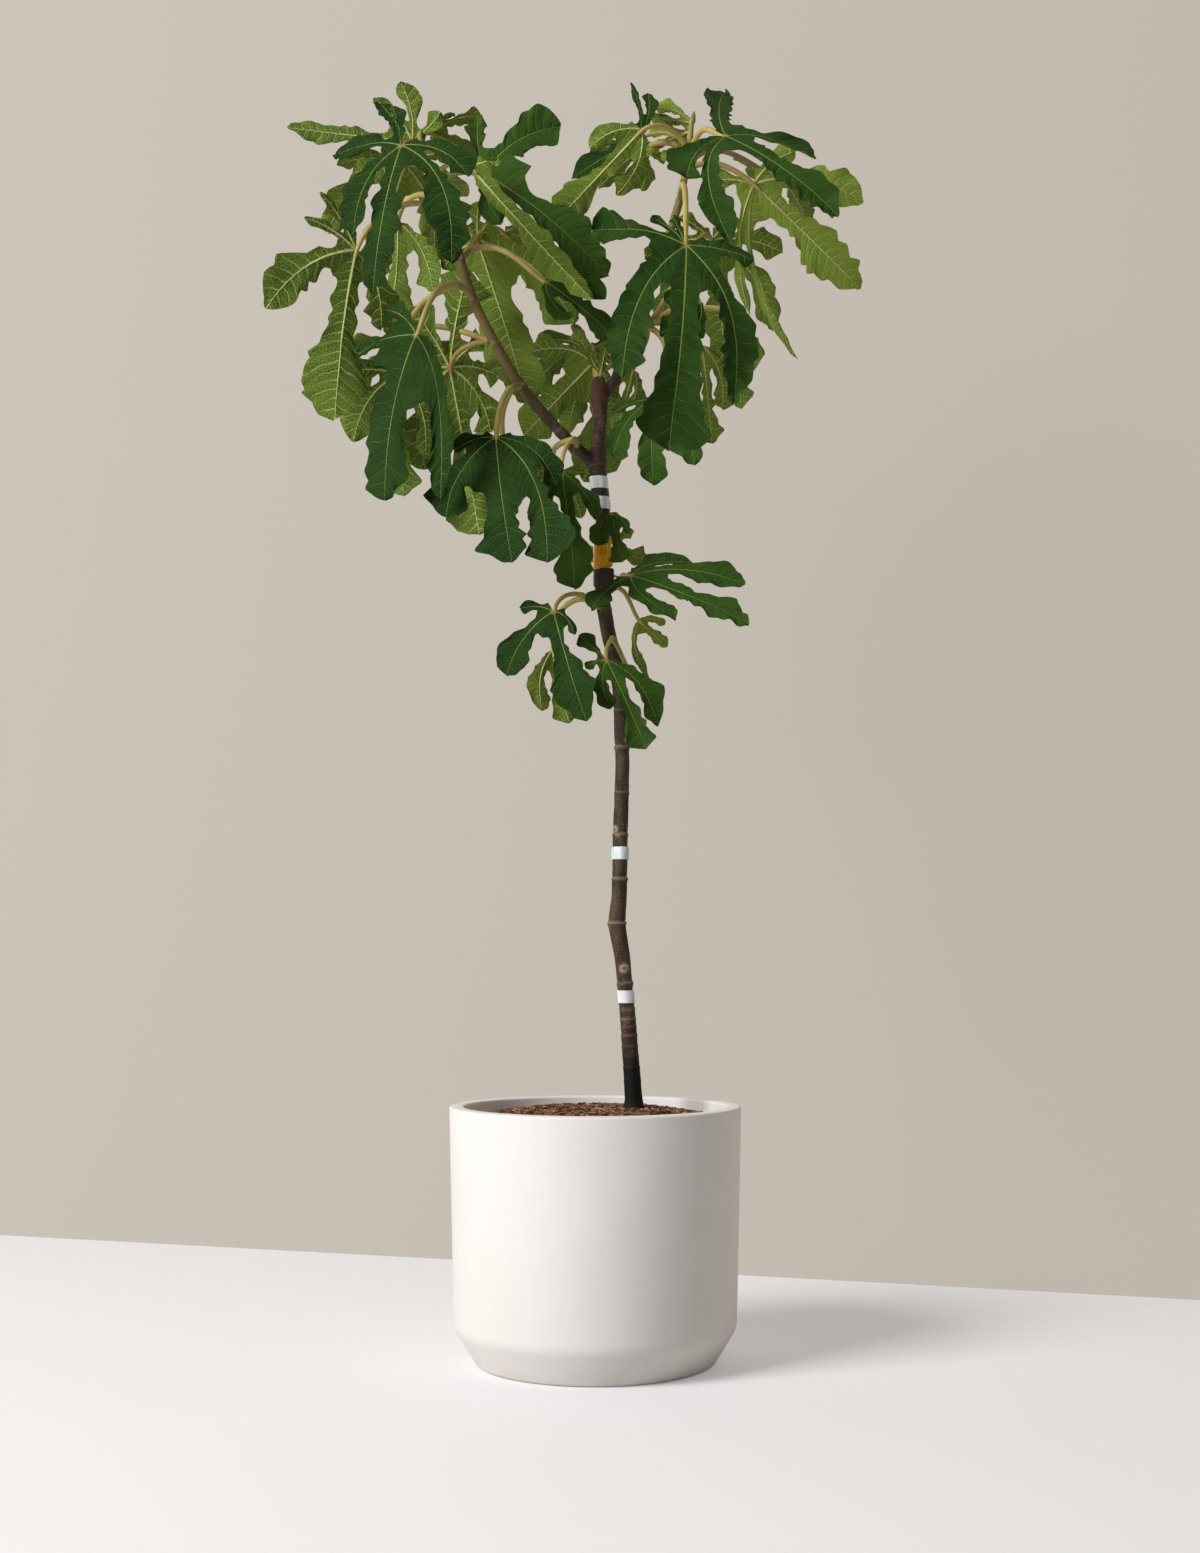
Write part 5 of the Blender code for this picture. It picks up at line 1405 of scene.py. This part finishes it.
def makeFoliage():
    stalks = bmesh.new()
    stalks.verts.layers.float_color.new("stalkTone")
    for piece, names in leafGroups.items():
        blades = bmesh.new()
        newLayers(blades)
        for name in names:
            growMass(name, blades, stalks)
        newPiece(blades, piece, leafSkins, names, "leaf", leafForm["sharp"])
    newPiece(stalks, "leafStalks", [stalkSkin], list(masses), "leaf", stemForm["sharp"])


makeFoliage()


view = {"place": (0.0048, -2.0, 0.416), "lens": 44.99, "shift": 0.1167, "sensor": 36.0, "near": 0.05}
camera = bpy.data.objects.new("camera", bpy.data.cameras.new("camera"))
scene.collection.objects.link(camera)
camera.location = view["place"]
camera.rotation_euler = (math.pi / 2, 0.0, 0.0)
camera.data.lens = view["lens"]
camera.data.sensor_width = view["sensor"]
camera.data.shift_y = view["shift"]
camera.data.clip_start = view["near"]
scene.camera = camera

room = {
    "floor": (0.72, 0.705, 0.705), "floorGlow": (0.205, 0.205, 0.215), "floorReach": 8,
    "wall": (0.06, 0.055, 0.048), "wallGlow": ((0.525, 0.482, 0.420), (0.465, 0.422, 0.364)),
    "wallLeft": (-0.90, 0.913), "wallRight": (0.73, 0.36), "wallReach": 6, "wallHeight": 5,
    "plain": (0.9, 0.1), "air": 0.10, "airColour": (1.0, 0.99, 0.975),
}
# place, aim, size, power and colour
lamps = {
    "keyLight": ((-3.1, -2.4, 2.8), (0.0, 0.0, 0.5), (1.9, 1.9), 222.0, (1.0, 0.988, 0.975)),
    "fillLight": ((0.3, -3.0, 1.9), (0.0, 0.0, 0.9), (2.2, 1.6), 0.5, (1.0, 1.0, 1.0)),
    "rimLight": ((1.5, 0.25, 0.9), (0.0, 0.0, 0.3), (0.4, 1.6), 6.0, (1.0, 1.0, 1.0)),
}


def stagePlane(name, corners, colour):
    bm = bmesh.new()
    bm.faces.new([bm.verts.new(corner) for corner in corners])
    mesh = bpy.data.meshes.new(name)
    bm.to_mesh(mesh)
    bm.free()
    plane = bpy.data.objects.new(name, mesh)
    scene.collection.objects.link(plane)
    material, tree, shader = newMaterial(name + "Paint", *room["plain"])
    shader.inputs["Base Color"].default_value = (*colour, 1.0)
    mesh.materials.append(material)
    return tree, shader


def makeFloor():
    far = room["floorReach"]
    corners = [(-far, -far, 0), (far, -far, 0), (far, far, 0), (-far, far, 0)]
    tree, shader = stagePlane("floor", corners, room["floor"])
    # a glow that only the camera sees keeps the ground as pale and even as in the picture
    shader.inputs["Emission Color"].default_value = (*room["floorGlow"], 1.0)
    seen = tree.nodes.new("ShaderNodeLightPath").outputs["Is Camera Ray"]
    tree.links.new(seen, shader.inputs["Emission Strength"])


def makeWall():
    left, right = Vector((*room["wallLeft"], 0)), Vector((*room["wallRight"], 0))
    run = (right - left).normalized() * room["wallReach"]
    left, right, top = left - run, right + run, room["wallHeight"]
    corners = [(left.x, left.y, 0), (right.x, right.y, 0), (right.x, right.y, top), (left.x, left.y, top)]
    tree, shader = stagePlane("wall", corners, room["wall"])
    # it glows a little less to the right, and is clear from behind
    share = ramp(tree, axesOf(tree, objectPlace(tree))[0], -1.0, 1.0, kind="LINEAR")
    tree.links.new(blend(tree, share, *room["wallGlow"]), shader.inputs["Emission Color"])
    shader.inputs["Emission Strength"].default_value = 1.0
    behind = tree.nodes.new("ShaderNodeNewGeometry").outputs["Backfacing"]
    clear = tree.nodes.new("ShaderNodeBsdfTransparent").outputs[0]
    either = addNode(tree, "ShaderNodeMixShader", {0: behind, 1: shader.outputs[0], 2: clear}).outputs[0]
    tree.links.new(either, tree.nodes["Material Output"].inputs["Surface"])


def makeLamp(name, place, aim, size, power, colour):
    lamp = bpy.data.lights.new(name, "AREA")
    lamp.shape = "RECTANGLE"
    lamp.size, lamp.size_y = size
    lamp.energy = power
    lamp.color = colour
    item = bpy.data.objects.new(name, lamp)
    scene.collection.objects.link(item)
    item.location = place
    item.rotation_euler = (Vector(aim) - Vector(place)).to_track_quat("-Z", "Y").to_euler()


makeFloor()
makeWall()
for name, lamp in lamps.items():
    makeLamp(name, *lamp)
world = bpy.data.worlds.new("air")
world.use_nodes = True
background = world.node_tree.nodes["Background"]
background.inputs["Color"].default_value = (*room["airColour"], 1.0)
background.inputs["Strength"].default_value = room["air"]
scene.world = world
print("camera and light made")
